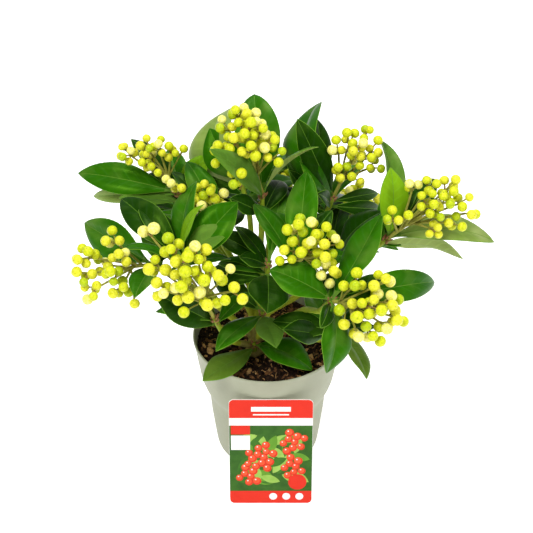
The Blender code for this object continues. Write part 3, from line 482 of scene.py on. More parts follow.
BARKS = {
    "stalk": ("stalk_green", (0.23, 0.255, 0.03), (0.31, 0.28, 0.06), 0.0001),
    "stalk_red": ("stalk_reddish", (0.27, 0.15, 0.045), (0.27, 0.22, 0.055), 0.0001),
    "bark_green": ("bark_green", (0.19, 0.29, 0.01), (0.25, 0.29, 0.03), 0.0003),
    "bark_tan": ("bark_tan", (0.3, 0.33, 0.02), (0.22, 0.25, 0.016), 0.0004),
    "bark_brown": ("bark_brown", (0.4, 0.33, 0.1), (0.23, 0.195, 0.05), 0.0005),
    "scale": ("bud_scale", (0.23, 0.085, 0.04), (0.36, 0.2, 0.095), 0.0002),
}
SOILS = {
    "soil": ("compost", (0.005, 0.0025, 0.0015), (0.026, 0.012, 0.006), 0.0009),
    "soil_light": ("compost_light", (0.17, 0.075, 0.028), (0.06, 0.028, 0.012), 0.0006),
    "fibre": ("compost_fibre", (0.52, 0.31, 0.13), (0.26, 0.13, 0.048), 0.0002),
}
CARD_INKS = {
    "card_red": ((0.64, 0.026, 0.01), (0.6, 0.022, 0.009)),
    "card_white": ((0.78, 0.77, 0.74), (0.73, 0.72, 0.69)),
    "card_green": ((0.018, 0.075, 0.006), (0.04, 0.13, 0.012)),
    "card_deep": ((0.045, 0.16, 0.012), (0.025, 0.1, 0.008)),
    "card_leaf": ((0.13, 0.31, 0.025), (0.08, 0.21, 0.015)),
    "card_light": ((0.32, 0.5, 0.1), (0.2, 0.37, 0.05)),
    "card_berry": ((0.54, 0.022, 0.008), (0.62, 0.035, 0.012)),
    "card_orange": ((0.8, 0.095, 0.03), (0.74, 0.065, 0.022)),
}
FINISHES = {
    **{mark: leaf_finish(*row) for mark, row in LEAF_TONES.items()},
    **{mark: berry_finish(*row) for mark, row in BERRY_SKINS.items()},
    **{mark: bark_finish(*row) for mark, row in BARKS.items()},
    **{mark: soil_finish(*row) for mark, row in SOILS.items()},
    **{mark: card_finish(mark, *row) for mark, row in CARD_INKS.items()},
    "scar": finish("berry_scar", (0.33, 0.26, 0.02), (0.24, 0.18, 0.02), 900, 0.4, 0.7, 3000, 0.00008),
    "pot": finish("pot_stone", (0.284, 0.296, 0.206), (0.318, 0.326, 0.23), 90, 0.6, 0.5, 1500, 0.00012, 0.14,
                  Specular_IOR_Level=0.4),
    # The pot's inside: the same plastic painted a little darker, as painted shade in the pot's hollow.
    "pot_inside": finish("pot_inside", (0.3, 0.3, 0.22), (0.25, 0.25, 0.19), 90, 0.6, 0.65, 1500, 0.00012),
}


class Blank:
    """Points, faces, finishes and surface coordinates gathered for one joined piece."""

    def __init__(self, name, slot, finishes):
        self.name = name
        self.slot = slot
        self.finishes = finishes
        self.points = []
        self.faces = []
        self.marks = []
        self.coords = []

    def add(self, points, faces, marks, coords=None):
        start = len(self.points)
        self.points += [tuple(point) for point in points]
        self.coords += coords or [(0.5, 0.5)] * len(points)
        self.faces += [tuple(start + index for index in face) for face in faces]
        if isinstance(marks, str):
            marks = [marks] * len(faces)
        self.marks += [self.finishes.index(mark) for mark in marks]

    def make(self, smooth=True):
        mesh = bpy.data.meshes.new(self.name)
        mesh.from_pydata(self.points, [], self.faces)
        mesh.polygons.foreach_set("material_index", self.marks)
        mesh.polygons.foreach_set("use_smooth", [smooth] * len(self.faces))
        layer = mesh.uv_layers.new(name="blade")
        corners = np.empty(len(mesh.loops), dtype=np.int32)
        mesh.loops.foreach_get("vertex_index", corners)
        layer.data.foreach_set("uv", np.array(self.coords, dtype=np.float32)[corners].ravel())
        for key in self.finishes:
            mesh.materials.append(FINISHES[key])
        mesh.validate()
        mesh.update()
        obj = add_object(self.name, mesh)
        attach(obj, "root")
        return obj


# Rings of points, and the faces between them

OUTWARD, TURNED, UPWARD = (0, 1, 3, 2), (1, 0, 2, 3), (0, 2, 3, 1)


def angles_round(steps):
    return [2 * math.pi * i / steps for i in range(steps)]


def ring_faces(rings, steps, order):
    """Quads between rings of points that follow one another, each with its corners in the given order."""
    faces = []
    for start in range(0, (rings - 1) * steps, steps):
        for i in range(steps):
            j = (i + 1) % steps
            corners = (start + i, start + j, start + steps + i, start + steps + j)
            faces.append(tuple(corners[place] for place in order))
    return faces


# Placing rule, as in the solids


def smooth_route(points, count):
    """Evenly spaced points on a Catmull-Rom curve through the given points."""
    ends = [points[0] * 2 - points[1]] + list(points) + [points[-1] * 2 - points[-2]]
    spans = len(points) - 1
    route = []
    for step in range(count + 1):
        place = spans * step / count
        span = min(int(place), spans - 1)
        t = place - span
        before, start, end, after = ends[span:span + 4]
        route.append(0.5 * (
            2 * start + (end - before) * t + (2 * before - 5 * start + 4 * end - after) * t * t
            + (3 * start - before - 3 * end + after) * t ** 3
        ))
    return route


def blade_share(t, tip=0.78):
    """A leaf's half width along its midrib, as a share of the widest: narrow foot, short tip."""
    if t < LEAF_WIDEST:
        return math.sin(math.pi / 2 * t / LEAF_WIDEST) ** 1.25
    return max(0.0, math.cos(math.pi / 2 * (t - LEAF_WIDEST) / (1 - LEAF_WIDEST))) ** tip


def leaf_axes(leaf):
    heading, rise, roll = (math.radians(angle) for angle in (leaf.heading, leaf.rise, leaf.roll))
    along = Vector((math.cos(heading) * math.cos(rise), math.sin(heading) * math.cos(rise), math.sin(rise)))
    up = Vector((-math.cos(heading) * math.sin(rise), -math.sin(heading) * math.sin(rise), math.cos(rise)))
    across = up.cross(along)
    normal = up * math.cos(roll) + across * math.sin(roll)
    return along, normal, across * math.cos(roll) - up * math.sin(roll)


def grown_tree(points, faces, clearance=0.0):
    """A search tree of a closed shape, grown outwards by a clearance."""
    mesh = bpy.data.meshes.new("proxy")
    mesh.from_pydata([tuple(point) for point in points], [], faces)
    bm = bmesh.new()
    bm.from_mesh(mesh)
    bmesh.ops.recalc_face_normals(bm, faces=bm.faces)
    bm.normal_update()
    spots = [vert.co + vert.normal * clearance for vert in bm.verts]
    polygons = [tuple(vert.index for vert in face.verts) for face in bm.faces]
    bm.free()
    bpy.data.meshes.remove(mesh)
    return BVHTree.FromPolygons(spots, polygons)


def leaf_proxy(base, leaf):
    along, normal, across = leaf_axes(leaf)
    length = leaf.length * MM
    fold = math.radians(leaf.fold)
    points = []
    stations = SHORT_LEAF_STATIONS if leaf.length < SHORT_LEAF else LEAF_STATIONS
    for t in stations[:-1]:
        middle = base + (along * t + normal * 4 * leaf.arch * t * (1 - t)) * length
        half = max(PETIOLE_HALF_WIDTH, leaf.width * MM / 2 * blade_share(t))
        lift = normal * half * math.sin(fold)
        side = across * half * math.cos(fold)
        rib = normal * LEAF_THICKNESS / 2
        points += [middle + side + lift, middle + rib, middle - side + lift, middle - rib]
    points.append(base + along * length)
    faces = [(0, 1, 2, 3)]
    last = len(points) - 5
    for near in range(0, last, 4):
        for edge, rib in ((0, 1), (2, 1), (2, 3), (0, 3)):
            faces += [(near + edge, near + rib, near + 4 + rib), (near + edge, near + 4 + rib, near + 4 + edge)]
    faces += [(last + i, last + (i + 1) % 4, last + 4) for i in range(4)]
    return points, faces


def stick_proxy(start, end, thick, thin, sides):
    run = (end - start).normalized()
    turn = run.to_track_quat("Z", "Y")
    points = []
    for centre, radius in ((start, thick), (end, thin)):
        for angle in angles_round(sides):
            points.append(centre + turn @ Vector((math.sin(angle) * radius, math.cos(angle) * radius, 0)))
    faces = ring_faces(2, sides, OUTWARD)
    return points, faces + [tuple(range(sides)), tuple(range(sides, 2 * sides))]


NUDGES = sorted(
    ((heading, rise) for heading in range(-16, 17, 4) for rise in range(-16, 17, 4)),
    key=lambda turn: (abs(turn[0]) + abs(turn[1]), turn))
FILLER_NUDGES = NUDGES[:13]
FILLER_TRIES = 60
BUNCH_MOVES = 6


class Mass:
    """One shoot: its stem and the leaves, twigs and berries that it carries."""

    def __init__(self, shoot):
        self.shoot = shoot
        self.top = vec(shoot.top)
        self.foot = vec(shoot.foot)
        self.axis = (self.top - self.foot).normalized()
        stem = stick_proxy(self.foot + self.axis * GAP, self.top, SHOOT_FOOT_RADIUS, SHOOT_TIP_RADIUS, 6)
        self.trees = [grown_tree(*stem)]
        self.leaves = []
        self.blade_trees = []
        self.berries = []  # centre and radius of each bunch's ball
        self.sprays = []  # where each bunch's stalk leaves, its centre and its number of berries

    def leaf_base(self, leaf):
        return self.top - self.axis * leaf.below * MM


def touches_others(shape, own, masses, fixed):
    tree = grown_tree(*shape, CLEAR)
    if any(other.overlap(tree) for other in fixed):
        return True
    return any(other.overlap(tree) for mass in masses if mass is not own for other in mass.trees)


def place_leaf(mass, leaf, masses, fixed, turns):
    """Keep the leaf where a small turn leaves it clear of the rest, or skip it."""
    base = mass.leaf_base(leaf)
    for heading, rise in turns:
        turned = leaf._replace(heading=leaf.heading + heading, rise=leaf.rise + rise)
        shape = leaf_proxy(base, turned)
        tree = grown_tree(*shape)
        near_berry = any(
            tree.find_nearest(spot, radius + CLEAR)[0] is not None
            for other in masses for spot, radius in other.berries)
        if not near_berry and not touches_others(shape, mass, masses, fixed):
            mass.trees.append(tree)
            mass.blade_trees.append(tree)
            mass.leaves.append(turned)
            return


def filler_leaves(shoot, rng):
    filler = shoot.filler
    span = (Vector(shoot.top) - Vector(shoot.foot)).length
    made = []
    step = 0
    while filler and len(made) < filler.count and step < FILLER_TRIES:
        heading = math.degrees(step * GOLDEN_TURN) % 360
        share = (len(made) + 0.5) / filler.count
        step += 1
        if (heading - filler.low) % 360 <= (filler.high - filler.low):
            length = filler.length * rng.uniform(0.86, 1.08)
            made.append(Leaf(
                span * (0.12 + 0.75 * share), heading, 34 - 46 * share + rng.uniform(-6, 6),
                rng.uniform(-12, 12), length, length * rng.uniform(0.36, 0.42), rng.uniform(0.05, 0.12), 12,
                FILLER_TONES[len(made) % len(FILLER_TONES)]))
    return made


def berry_middle(fruit):
    return vec(sum((Vector(bunch[:3]) for bunch in fruit.bunches), Vector()) / len(fruit.bunches))


def solid_radius(fruit, index):
    """The radius of the one solid berry that stands for a bunch, kept off its neighbours."""
    base, step = BERRY_SOLID
    wanted = fruit.radius * (base + step * fruit.bunches[index][3])
    here = Vector(fruit.bunches[index][:3])
    gaps = [(here - Vector(other[:3])).length for i, other in enumerate(fruit.bunches) if i != index]
    return min([wanted] + [gap * 0.5 for gap in gaps]) * MM


def berry_places(mass, masses, fixed):
    """Where each bunch can stand: moved a little outwards, or dropped, where it would touch a leaf or limb."""
    fruit = mass.shoot.fruit
    middle = berry_middle(fruit)
    places = []
    for index, bunch in enumerate(fruit.bunches):
        radius = solid_radius(fruit, index)
        spot = vec(bunch[:3])
        for _ in range(BUNCH_MOVES):
            near = None
            for tree in fixed + [tree for other in masses if other is not mass for tree in other.trees]:
                found = tree.find_nearest(spot, radius + CLEAR)
                if found[0] is not None:
                    near = found[0]
                    break
            if near is None:
                places.append((index, spot, radius))
                break
            away = (spot - near) if (spot - near).length > 1e-5 else spot - middle
            spot = spot + away.normalized() * (radius + CLEAR - (spot - near).length + 0.0005)
    return places


def add_fruit(mass, masses, fixed):
    """Bunches on stalks that leave the flower stem one above another."""
    fruit = mass.shoot.fruit
    mass.head = mass.top.lerp(berry_middle(fruit), HEAD_REACH)
    places = berry_places(mass, masses, fixed)
    trees = [grown_tree(*stick_proxy(mass.top - mass.axis * 0.002, mass.head, 0.0016, STALK_RADII[1], 4))]
    for step, (index, spot, radius) in enumerate(places):
        root = mass.top.lerp(mass.head, 0.35 + 0.6 * step / len(places))
        stalk = stick_proxy(root, spot, *STALK_RADII, 3)
        if not touches_others(stalk, mass, masses, fixed):
            trees.append(grown_tree(*stalk))
            mass.berries.append((spot, radius))
            mass.sprays.append((root, spot, fruit.bunches[index][3]))
    mass.trees += trees


def fixed_trees():
    trees = []
    for name in ["pot", "compost", "picture_card", "main_stem"] + BOUGH_NODES:
        mesh = frame["nodes"][name].data
        points = [frame["nodes"][name].matrix_world @ vert.co for vert in mesh.vertices]
        trees.append(BVHTree.FromPolygons(points, [tuple(face.vertices) for face in mesh.polygons]))
    return trees


def grow_masses():
    fixed = fixed_trees()
    masses = [Mass(shoot) for shoot in SHOOTS]
    rng = random.Random(SEED)
    for mass in masses:
        for row in mass.shoot.leaves:
            place_leaf(mass, Leaf(*row), masses, fixed, NUDGES)
    for mass in masses:
        if mass.shoot.fruit:
            add_fruit(mass, masses, fixed)
    for mass in masses:
        for leaf in filler_leaves(mass.shoot, rng):
            place_leaf(mass, leaf, masses, fixed, FILLER_NUDGES)
    return masses


# Leaves

BLADE_ROWS = 20
STALK_END = 0.075  # as a share of the leaf's length, like the next two
HOOK_START = 0.8
HOOK_DROP = 0.018
QUILTING = 0.13  # as a share of the half width, like the next three
EDGE_ROLL = 0.07
EDGE_SWING = (0.02, 0.06)
BLADE_TWIST = 0.05
TIP_SHAPES = (0.64, 0.86)
STALK_SWELLING = 0.0014
RIB_RIDGE = 0.00035


def leaf_columns(half, t):
    """Places across the blade, from one edge to the other: margins, blade and a midrib that thins."""
    rib = min(0.34, RIB_HALF_WIDTH * (1 - 0.6 * t) / half)
    margin = max(0.72, 1 - MARGIN_WIDTH / half)
    inner = [rib + (margin - rib) * share for share in (0.34, 0.68)]
    right = [rib] + inner + [margin, 1.0]
    return [-s for s in reversed(right)] + right


def add_leaf(blank, base, leaf, rng):
    """A thick leathery blade: quilted on each side of a sunk midrib, its edge rolled a little down."""
    along, normal, across = leaf_axes(leaf)
    length = leaf.length * MM
    width = leaf.width * MM / 2
    fold = math.radians(leaf.fold)
    phase, swing, twist = rng.uniform(0, 6.28), rng.uniform(*EDGE_SWING), rng.uniform(-BLADE_TWIST, BLADE_TWIST)
    tip = rng.uniform(*TIP_SHAPES)
    points, coords, faces, marks = [], [], [], []
    rows = [i / BLADE_ROWS for i in range(BLADE_ROWS + 1)]
    rows = [0.55 * t + 0.45 * (0.5 - 0.5 * math.cos(math.pi * t)) for t in rows]
    for t in rows:
        hook = -HOOK_DROP * max(0.0, (t - HOOK_START) / 0.2) ** 2
        middle = base + (along * t + normal * (4 * leaf.arch * t * (1 - t) + hook)) * length
        half = max(PETIOLE_HALF_WIDTH * (1 - 0.75 * max(0.0, (t - 0.9) / 0.1)), width * blade_share(t, tip))
        thick = LEAF_SKIN + STALK_SWELLING * math.exp(-(t / 0.07) ** 2)
        columns = leaf_columns(half, t)
        for upper in (1, 0):
            for s in columns:
                away = abs(s)
                lift = half * (
                    away * math.sin(fold) + QUILTING * math.sin(math.pi * away) - EDGE_ROLL * away ** 4)
                lift += half * away ** 2 * swing * 2 * math.sin(phase + 9 * t + (1.3 if s > 0 else 0))
                lift += half * s * twist * (t - 0.3) * 4
                if away < 0.35 and not upper:
                    lift -= RIB_RIDGE * (1 - t)
                drop = 0 if upper else thick * (1 if away < 0.999 else 0.6)
                points.append(middle + across * s * half * math.cos(fold) + normal * (lift - drop))
                coords.append((0.5 + 0.5 * s, t))
    count = len(columns)
    for row in range(BLADE_ROWS):
        low, high = row * 2 * count, (row + 1) * 2 * count
        stalk = rows[row] < STALK_END
        for i in range(count - 1):
            mark = "rib" if i == count // 2 - 1 or stalk else "margin" if i in (0, count - 2) else leaf.tone
            faces.append((low + i, low + i + 1, high + i + 1, high + i))
            marks.append(mark)
            faces.append((low + count + i + 1, low + count + i, high + count + i, high + count + i + 1))
            marks.append("rib" if i == count // 2 - 1 or stalk else "under")
        for i, flip in ((0, False), (count - 1, True)):
            side = (low + i, high + i, high + count + i, low + count + i)
            faces.append(side[::-1] if flip else side)
            marks.append("margin")
    for start, flip in ((0, False), (BLADE_ROWS * 2 * count, True)):
        for i in range(count - 1):
            cap = (start + i, start + count + i, start + count + i + 1, start + i + 1)
            faces.append(cap[::-1] if flip else cap)
            marks.append("margin")
    blank.add(points, faces, marks, coords)


# Stems, twigs and berries

RELIEF_STRETCH = 0.35
BARK_RELIEF, BARK_LUMPS = 0.16, 330
GREEN_RELIEF, GREEN_LUMPS = 0.12, 420
STALK_RELIEF, STALK_LUMPS = 0.15, 500
BERRY_SHARE = 0.89
BERRY_SIZES = (0.86, 1.08)
BERRY_TONES = {"berry": 0.46, "berry_gold": 0.26, "berry_cream": 0.15, "berry_green": 0.13}
PRESSING = [(1.20, 0.12)] * 40 + [(1.0, 0.35)] * 40  # room between berries, and how hard each pass pushes
BROWN_BELOW, TAN_BELOW = 0.132, 0.166
BUD_SCALES = 9
LEAF_SCARS = 3


def add_tube(blank, route, radii, sides, marks, relief=0.0, lump=260.0):
    """A tube along a route, with its relief pushed in and out by noise, and closed ends."""
    points, coords = [], []
    side = (route[1] - route[0]).orthogonal().normalized()
    run_length = 0.0
    for index, (centre, radius) in enumerate(zip(route, radii)):
        ahead = route[min(index + 1, len(route) - 1)] - route[max(index - 1, 0)]
        ahead.normalize()
        side = (side - ahead * side.dot(ahead)).normalized()
        other = ahead.cross(side)
        if index:
            run_length += (centre - route[index - 1]).length
        for i, angle in enumerate(angles_round(sides)):
            out = side * math.cos(angle) + other * math.sin(angle)
            reach = radius
            if relief:
                spot = (centre + out * radius) * lump
                reach *= 1 + relief * noise.noise(Vector((spot.x, spot.y, spot.z * RELIEF_STRETCH)))
            points.append(centre + out * reach)
            coords.append((i / sides, run_length * 100))
    faces = ring_faces(len(route), sides, OUTWARD)
    last = (len(route) - 1) * sides
    faces += [tuple(reversed(range(sides))), tuple(range(last, last + sides))]
    if callable(marks):
        marks = [marks(route[min(k // sides, len(route) - 1)]) for k in range(len(faces))]
    blank.add(points, faces, marks, coords)


def bent(start, end, pull, count):
    """Points on a soft bend from start to end, pulled sideways in the middle."""
    middle = (start + end) / 2 + pull
    return [start.lerp(middle, t).lerp(middle.lerp(end, t), t) for t in (i / count for i in range(count + 1))]


def unit_ball(subdivisions):
    bm = bmesh.new()
    bmesh.ops.create_icosphere(bm, subdivisions=subdivisions, radius=1.0)
    points = [vert.co.copy() for vert in bm.verts]
    faces = [tuple(vert.index for vert in face.verts) for face in bm.faces]
    bm.free()
    return points, faces


BALL = unit_ball(3)


def ripe_berries(mass, leaf_trees, rng):
    """The real berries of each bunch, pushed apart until they only touch, and clear of the leaves."""
    radius = mass.shoot.fruit.radius * MM
    spots, owners, sizes = [], [], []
    for owner, (root, centre, count) in enumerate(mass.sprays):
        turn = rng.uniform(0, 6.28)
        reach = 0.0 if count == 1 else radius * (0.80 + 0.12 * count)
        for index in range(count):
            height = 1 - 2 * (index + 0.5) / count
            flat = math.sqrt(1 - height * height)
            angle = turn + index * GOLDEN_TURN
            spots.append(centre + Vector((flat * math.cos(angle), flat * math.sin(angle), height)) * reach)
            owners.append(owner)
            sizes.append(radius * BERRY_SHARE * rng.uniform(*BERRY_SIZES))
    place = np.array(spots)
    size = np.array(sizes)
    for room, push in PRESSING:
        gap = place[:, None] - place[None]
        far = np.linalg.norm(gap, axis=2) + np.eye(len(place))
        press = np.clip((size[:, None] + size[None]) * room - far, 0, None) * (1 - np.eye(len(place)))
        place = place + (gap / far[..., None] * press[..., None] * push).sum(axis=1)
    kept = []
    for spot, owner, berry in zip(place, owners, sizes):
        spot = Vector(spot)
        for _ in range(4):
            found = [tree.find_nearest(spot, berry * 0.95) for tree in leaf_trees]
            found = [hit for hit in found if hit[0] is not None]
            if not found:
                kept.append((spot, owner, berry))
                break
            near = min(found, key=lambda hit: hit[3])[0]
            spot = near + (spot - near).normalized() * berry * 1.02
    return kept


def add_berry(blank, scars, spot, radius, stalk_from, rng):
    """A slightly flattened berry with a dimple at its stalk and a small scar on its far end."""
    axis = (spot - stalk_from).normalized()
    turn = axis.to_track_quat("Z", "Y")
    points = []
    for unit in BALL[0]:
        z = unit.z * (0.96 - 0.10 * max(0.0, -unit.z) ** 8)
        points.append(spot + turn @ (Vector((unit.x, unit.y, z)) * radius))
    blank.add(points, BALL[1], rng.choices(list(BERRY_TONES), BERRY_TONES.values())[0])
    tip = spot + axis * radius * 0.955
    add_tube(scars, [tip, tip + axis * 0.0002], [0.00036, 0.00020], 7, "scar")


def add_truss(mass, leaf_trees, twigs, berries, scars, rng):
    """The flower stem, its twigs and stalks, and a berry on each stalk."""
    head_route = bent(mass.top - mass.axis * 0.002, mass.head, Vector((0, 0, 0.001)), 6)
    add_tube(twigs, head_route, [0.0017, 0.0016, 0.0015, 0.0014, 0.0013, 0.0012, 0.0010], 8, "stalk",
             STALK_RELIEF, STALK_LUMPS)
    hubs = []
    for root, centre, count in mass.sprays:
        reach = mass.shoot.fruit.radius * MM * (0.0 if count == 1 else 1.1)
        hub = centre + (root - centre).normalized() * reach
        pull = Vector((rng.uniform(-1, 1), rng.uniform(-1, 1), 0.6)) * 0.0012
        if count > 1:
            add_tube(twigs, bent(root, hub, pull, 5), [0.0012, 0.0011, 0.0010, 0.0009, 0.0009, 0.0008], 7,
                     "stalk", STALK_RELIEF, STALK_LUMPS)
        hubs.append(hub if count > 1 else root)
    for spot, owner, radius in ripe_berries(mass, leaf_trees, rng):
        start = hubs[owner]
        stalk = bent(start, spot, Vector((0, 0, rng.uniform(0.0003, 0.0012))), 4)
        tone = "stalk_red" if rng.random() < 0.3 else "stalk"
        add_tube(twigs, stalk, [0.0008, 0.0007, 0.0006, 0.0007, 0.0010], 6, tone)
        add_berry(berries, scars, spot, radius, stalk[-2], rng)


def bark_at(point):
    """Bark by height: brown at the foot, tan in the middle, green above."""
    height = point.z + 0.006 * noise.noise(point * 90)
    return "bark_brown" if height < BROWN_BELOW else "bark_tan" if height < TAN_BELOW else "bark_green"


def limb_routes():
    """Routes and radii of the main stem and the boughs, with finer steps than the solids have."""
    foot = Vector((MAIN_STEM[0][0] * MM, MAIN_STEM[0][1] * MM, COMPOST_LEVEL + GAP))
    stem_points = [vec(point) for point in MAIN_STEM]
    route = [foot] + smooth_route(stem_points, 36)
    coarse = {"main_stem": [foot] + smooth_route(stem_points, 9)}
    thick, thin = MAIN_STEM_RADIUS
    radii = []
    for step in range(len(route)):
        share = step / (len(route) - 1)
        radii.append((thick + (thin - thick) * share + MAIN_STEM_FLARE * max(0.0, 1 - share * 4.5) ** 2) * MM)
    limbs = [(route, radii)]
    shoots = {shoot.name: shoot for shoot in SHOOTS}
    for bough in BOUGHS:
        parent = coarse[bough.parent]
        place = bough.share * (len(parent) - 1)
        index = min(int(place), len(parent) - 2)
        start = parent[index].lerp(parent[index + 1], place - index)
        foot = vec(shoots[bough.tip].foot)
        axis = (vec(shoots[bough.tip].top) - foot).normalized()
        points = [start] + [vec(point) for point in bough.via] + [foot - axis * BOUGH_END]
        coarse[bough.tip] = smooth_route(points, 6) + [foot]
        radii = [(bough.radius + (SHOOT_FOOT_RADIUS / MM - bough.radius) * i / 31) * MM for i in range(32)]
        limbs.append((smooth_route(points, 30) + [foot], radii))
    return limbs


def add_leaf_scars(blank, mass, rng):
    """Short stubs where old leaves stood, and dry bud scales under the whorl."""
    span = (mass.top - mass.foot).length
    turn = mass.axis.to_track_quat("Z", "Y")

    def outward(angle):
        return turn @ Vector((math.cos(angle), math.sin(angle), 0))

    for index in range(BUD_SCALES):
        out = outward(index * GOLDEN_TURN)
        base = mass.top - mass.axis * (0.001 + 0.0006 * index) + out * 0.0012
        tip = base + (out * 0.55 + mass.axis * 0.8) * rng.uniform(0.003, 0.006)
        add_tube(blank, bent(base, tip, out * 0.0008, 4), [0.0009, 0.0011, 0.0009, 0.0006, 0.0002], 5, "scale")
    for index in range(LEAF_SCARS):
        out = outward(index * GOLDEN_TURN + 1.0)
        base = mass.foot + mass.axis * span * (0.15 + 0.25 * index) + out * 0.0012
        add_tube(blank, [base, base + out * 0.0022], [0.0010, 0.0006], 6, "stalk_red")


# Pot, compost and card

POT_STEPS = 144
COMPOST_RINGS, COMPOST_STEPS = 44, 150
LUMPS = ((0.0022, 60), (0.0016, 190), (0.0007, 480))  # how high the compost's lumps are, and how fine
CRUMBS = 1500
CRUMB_TONES = {"soil": 0.56, "soil_light": 0.28, "fibre": 0.16}
FIBRES = 150
PRINT_EDGE = 0.0002
PRINTED_LEAVES = 48
PRINTED_SPRIGS = ((0.018, 0.061, 9), (-0.008, 0.046, 13), (0.019, 0.037, 8), (-0.019, 0.027, 7))
# How far each layer of print stands off the card
FIELD_INK, LEAF_INK, BAR_INK, BERRY_INK = 0.00003, 0.00004, 0.00006, 0.00009
FOOT_INK, BLOCK_INK, DISC_INK = 0.00016, 0.00017, 0.00018


def pot_outside():
    """The pot's outside from its lip down, as radius and height."""
    return [
        (POT_RIM_RADIUS - 0.0004, POT_HEIGHT), (POT_RIM_RADIUS, POT_HEIGHT - 0.0005),
        (POT_RIM_RADIUS, POT_HEIGHT - 0.0018), (POT_RIM_RADIUS - 0.0003, POT_HEIGHT - 0.0028),
        (POT_RIM_RADIUS - 0.0012, POT_HEIGHT - 0.006), (0.0606, 0.097), (0.0590, 0.0860), (0.0576, 0.0780),
        (0.0556, 0.0715), (0.0534, 0.0670), (0.0519, 0.0630), (0.0512, 0.0590), (0.0508, 0.0540),
        (0.0498, 0.0400), (0.0477, 0.0200), (0.0463, 0.008), (0.0457, 0.0035), (0.0450, 0.0012), (0.0440, 0.0)]


def outside_radius(height):
    profile = pot_outside()
    for (r_high, z_high), (r_low, z_low) in zip(profile, profile[1:]):
        if z_low <= height <= z_high:
            return r_low + (height - z_low) / (z_high - z_low) * (r_high - r_low)
    return profile[-1][0]


def add_turned(blank, profile, steps, marks):
    """A turned skin from a profile of (radius, height), with a mark for each of its stretches."""
    points = [
        (radius * math.cos(angle), radius * math.sin(angle), height)
        for radius, height in profile for angle in angles_round(steps)]
    kinds = [mark for mark in marks[:len(profile) - 1] for _ in range(steps)]
    blank.add(points, ring_faces(len(profile), steps, TURNED), kinds)


def make_pot():
    blank = Blank("pot_shell", "pot", ["pot", "pot_inside"])
    outside = pot_outside()
    wall = [(r - POT_WALL, z) for r, z in reversed(outside[2:]) if z > POT_FLOOR + 0.004]
    inside = [(0.0005, POT_FLOOR), (outside_radius(POT_FLOOR) - POT_WALL - 0.002, POT_FLOOR)] + wall
    lip = [(POT_RIM_RADIUS - POT_WALL, POT_HEIGHT - 0.0006), (POT_RIM_RADIUS - POT_WALL + 0.0005, POT_HEIGHT)]
    profile = inside + lip + outside + [(0.030, 0.0), (0.0005, 0.0)]
    # The inside takes the darker copy of the plastic: painted shade.
    marks = ["pot_inside"] * len(inside) + ["pot"] * len(profile)
    add_turned(blank, profile, POT_STEPS, marks)
    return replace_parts(blank.make(), "pot")


def off_stem(x, y):
    return math.hypot(x - MAIN_STEM[0][0] * MM, y - MAIN_STEM[0][1] * MM)


def compost_height(x, y):
    """The compost's top: low lumps, calmer by the stem."""
    spot = Vector((x, y, 0.3))
    rough = sum(height * noise.noise(spot * scale) for height, scale in LUMPS)
    return COMPOST_LEVEL + rough * min(1.0, max(0.15, (off_stem(x, y) - 0.009) / 0.015))


def add_crumb(blank, ball, edge, rng):
    """A crumb: a knocked, flattened ball of its own size and turn."""
    radius, angle = edge * math.sqrt(rng.uniform(0, 0.98)), rng.uniform(0, 6.28)
    x, y = radius * math.cos(angle), radius * math.sin(angle)
    size = 0.0006 + 0.0027 * rng.random() ** 3
    if off_stem(x, y) < 0.010 or radius + size * 1.4 > edge:
        return
    stretch = Vector((rng.uniform(0.8, 1.9), rng.uniform(0.4, 1.0), rng.uniform(0.30, 0.75)))
    turn = Matrix.Rotation(rng.uniform(0, 6.28), 3, "Z") @ Matrix.Rotation(rng.uniform(-0.4, 0.4), 3, "X")
    centre = Vector((x, y, compost_height(x, y) + size * 0.15))
    shape = []
    for unit in ball[0]:
        knock = 1 + 0.45 * noise.noise(unit * 1.9 + centre * 900)
        shape.append(centre + turn @ Vector(a * b * size * knock for a, b in zip(unit, stretch)))
    blank.add(shape, ball[1], rng.choices(list(CRUMB_TONES), CRUMB_TONES.values())[0])


def add_fibre(blank, edge, rng):
    """A short bent fibre that lies on the compost."""
    radius, angle = (edge - 0.010) * math.sqrt(rng.random()), rng.uniform(0, 6.28)
    x, y, heading = radius * math.cos(angle), radius * math.sin(angle), rng.uniform(0, 6.28)
    if off_stem(x, y) < 0.016:
        return
    reach = rng.uniform(0.003, 0.009)
    ends = [(x + s * reach / 2 * math.cos(heading), y + s * reach / 2 * math.sin(heading)) for s in (-1, 1)]
    start, end = (Vector((a, b, compost_height(a, b) + 0.0006)) for a, b in ends)
    pull = Vector((rng.uniform(-1, 1), rng.uniform(-1, 1), 0.4)) * reach * 0.2
    add_tube(blank, bent(start, end, pull, 6), [rng.uniform(0.00014, 0.00046)] * 7, 5, "fibre")


def make_compost(rng):
    blank = Blank("compost_fill", "compost", ["soil", "soil_light", "fibre"])
    edge = outside_radius(COMPOST_LEVEL) - POT_WALL - 0.0002
    points = []
    for ring in range(COMPOST_RINGS + 1):
        radius = 0.0003 + (edge - 0.0003) * ring / COMPOST_RINGS
        for angle in angles_round(COMPOST_STEPS):
            x, y = radius * math.cos(angle), radius * math.sin(angle)
            points.append((x, y, compost_height(x, y)))
    faces = ring_faces(COMPOST_RINGS + 1, COMPOST_STEPS, UPWARD)
    blank.add(points, faces, ["soil" if rng.random() < 0.93 else "soil_light" for _ in faces])
    foot = [(edge, COMPOST_LEVEL - 0.003), (0.05, 0.06), (0.044, POT_FLOOR + GAP), (0.0005, POT_FLOOR + GAP)]
    add_turned(blank, foot, 48, ["soil"] * 3)
    ball = unit_ball(2)
    for _ in range(CRUMBS):
        add_crumb(blank, ball, edge, rng)
    for _ in range(FIBRES):
        add_fibre(blank, edge, rng)
    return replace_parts(blank.make(), "compost")


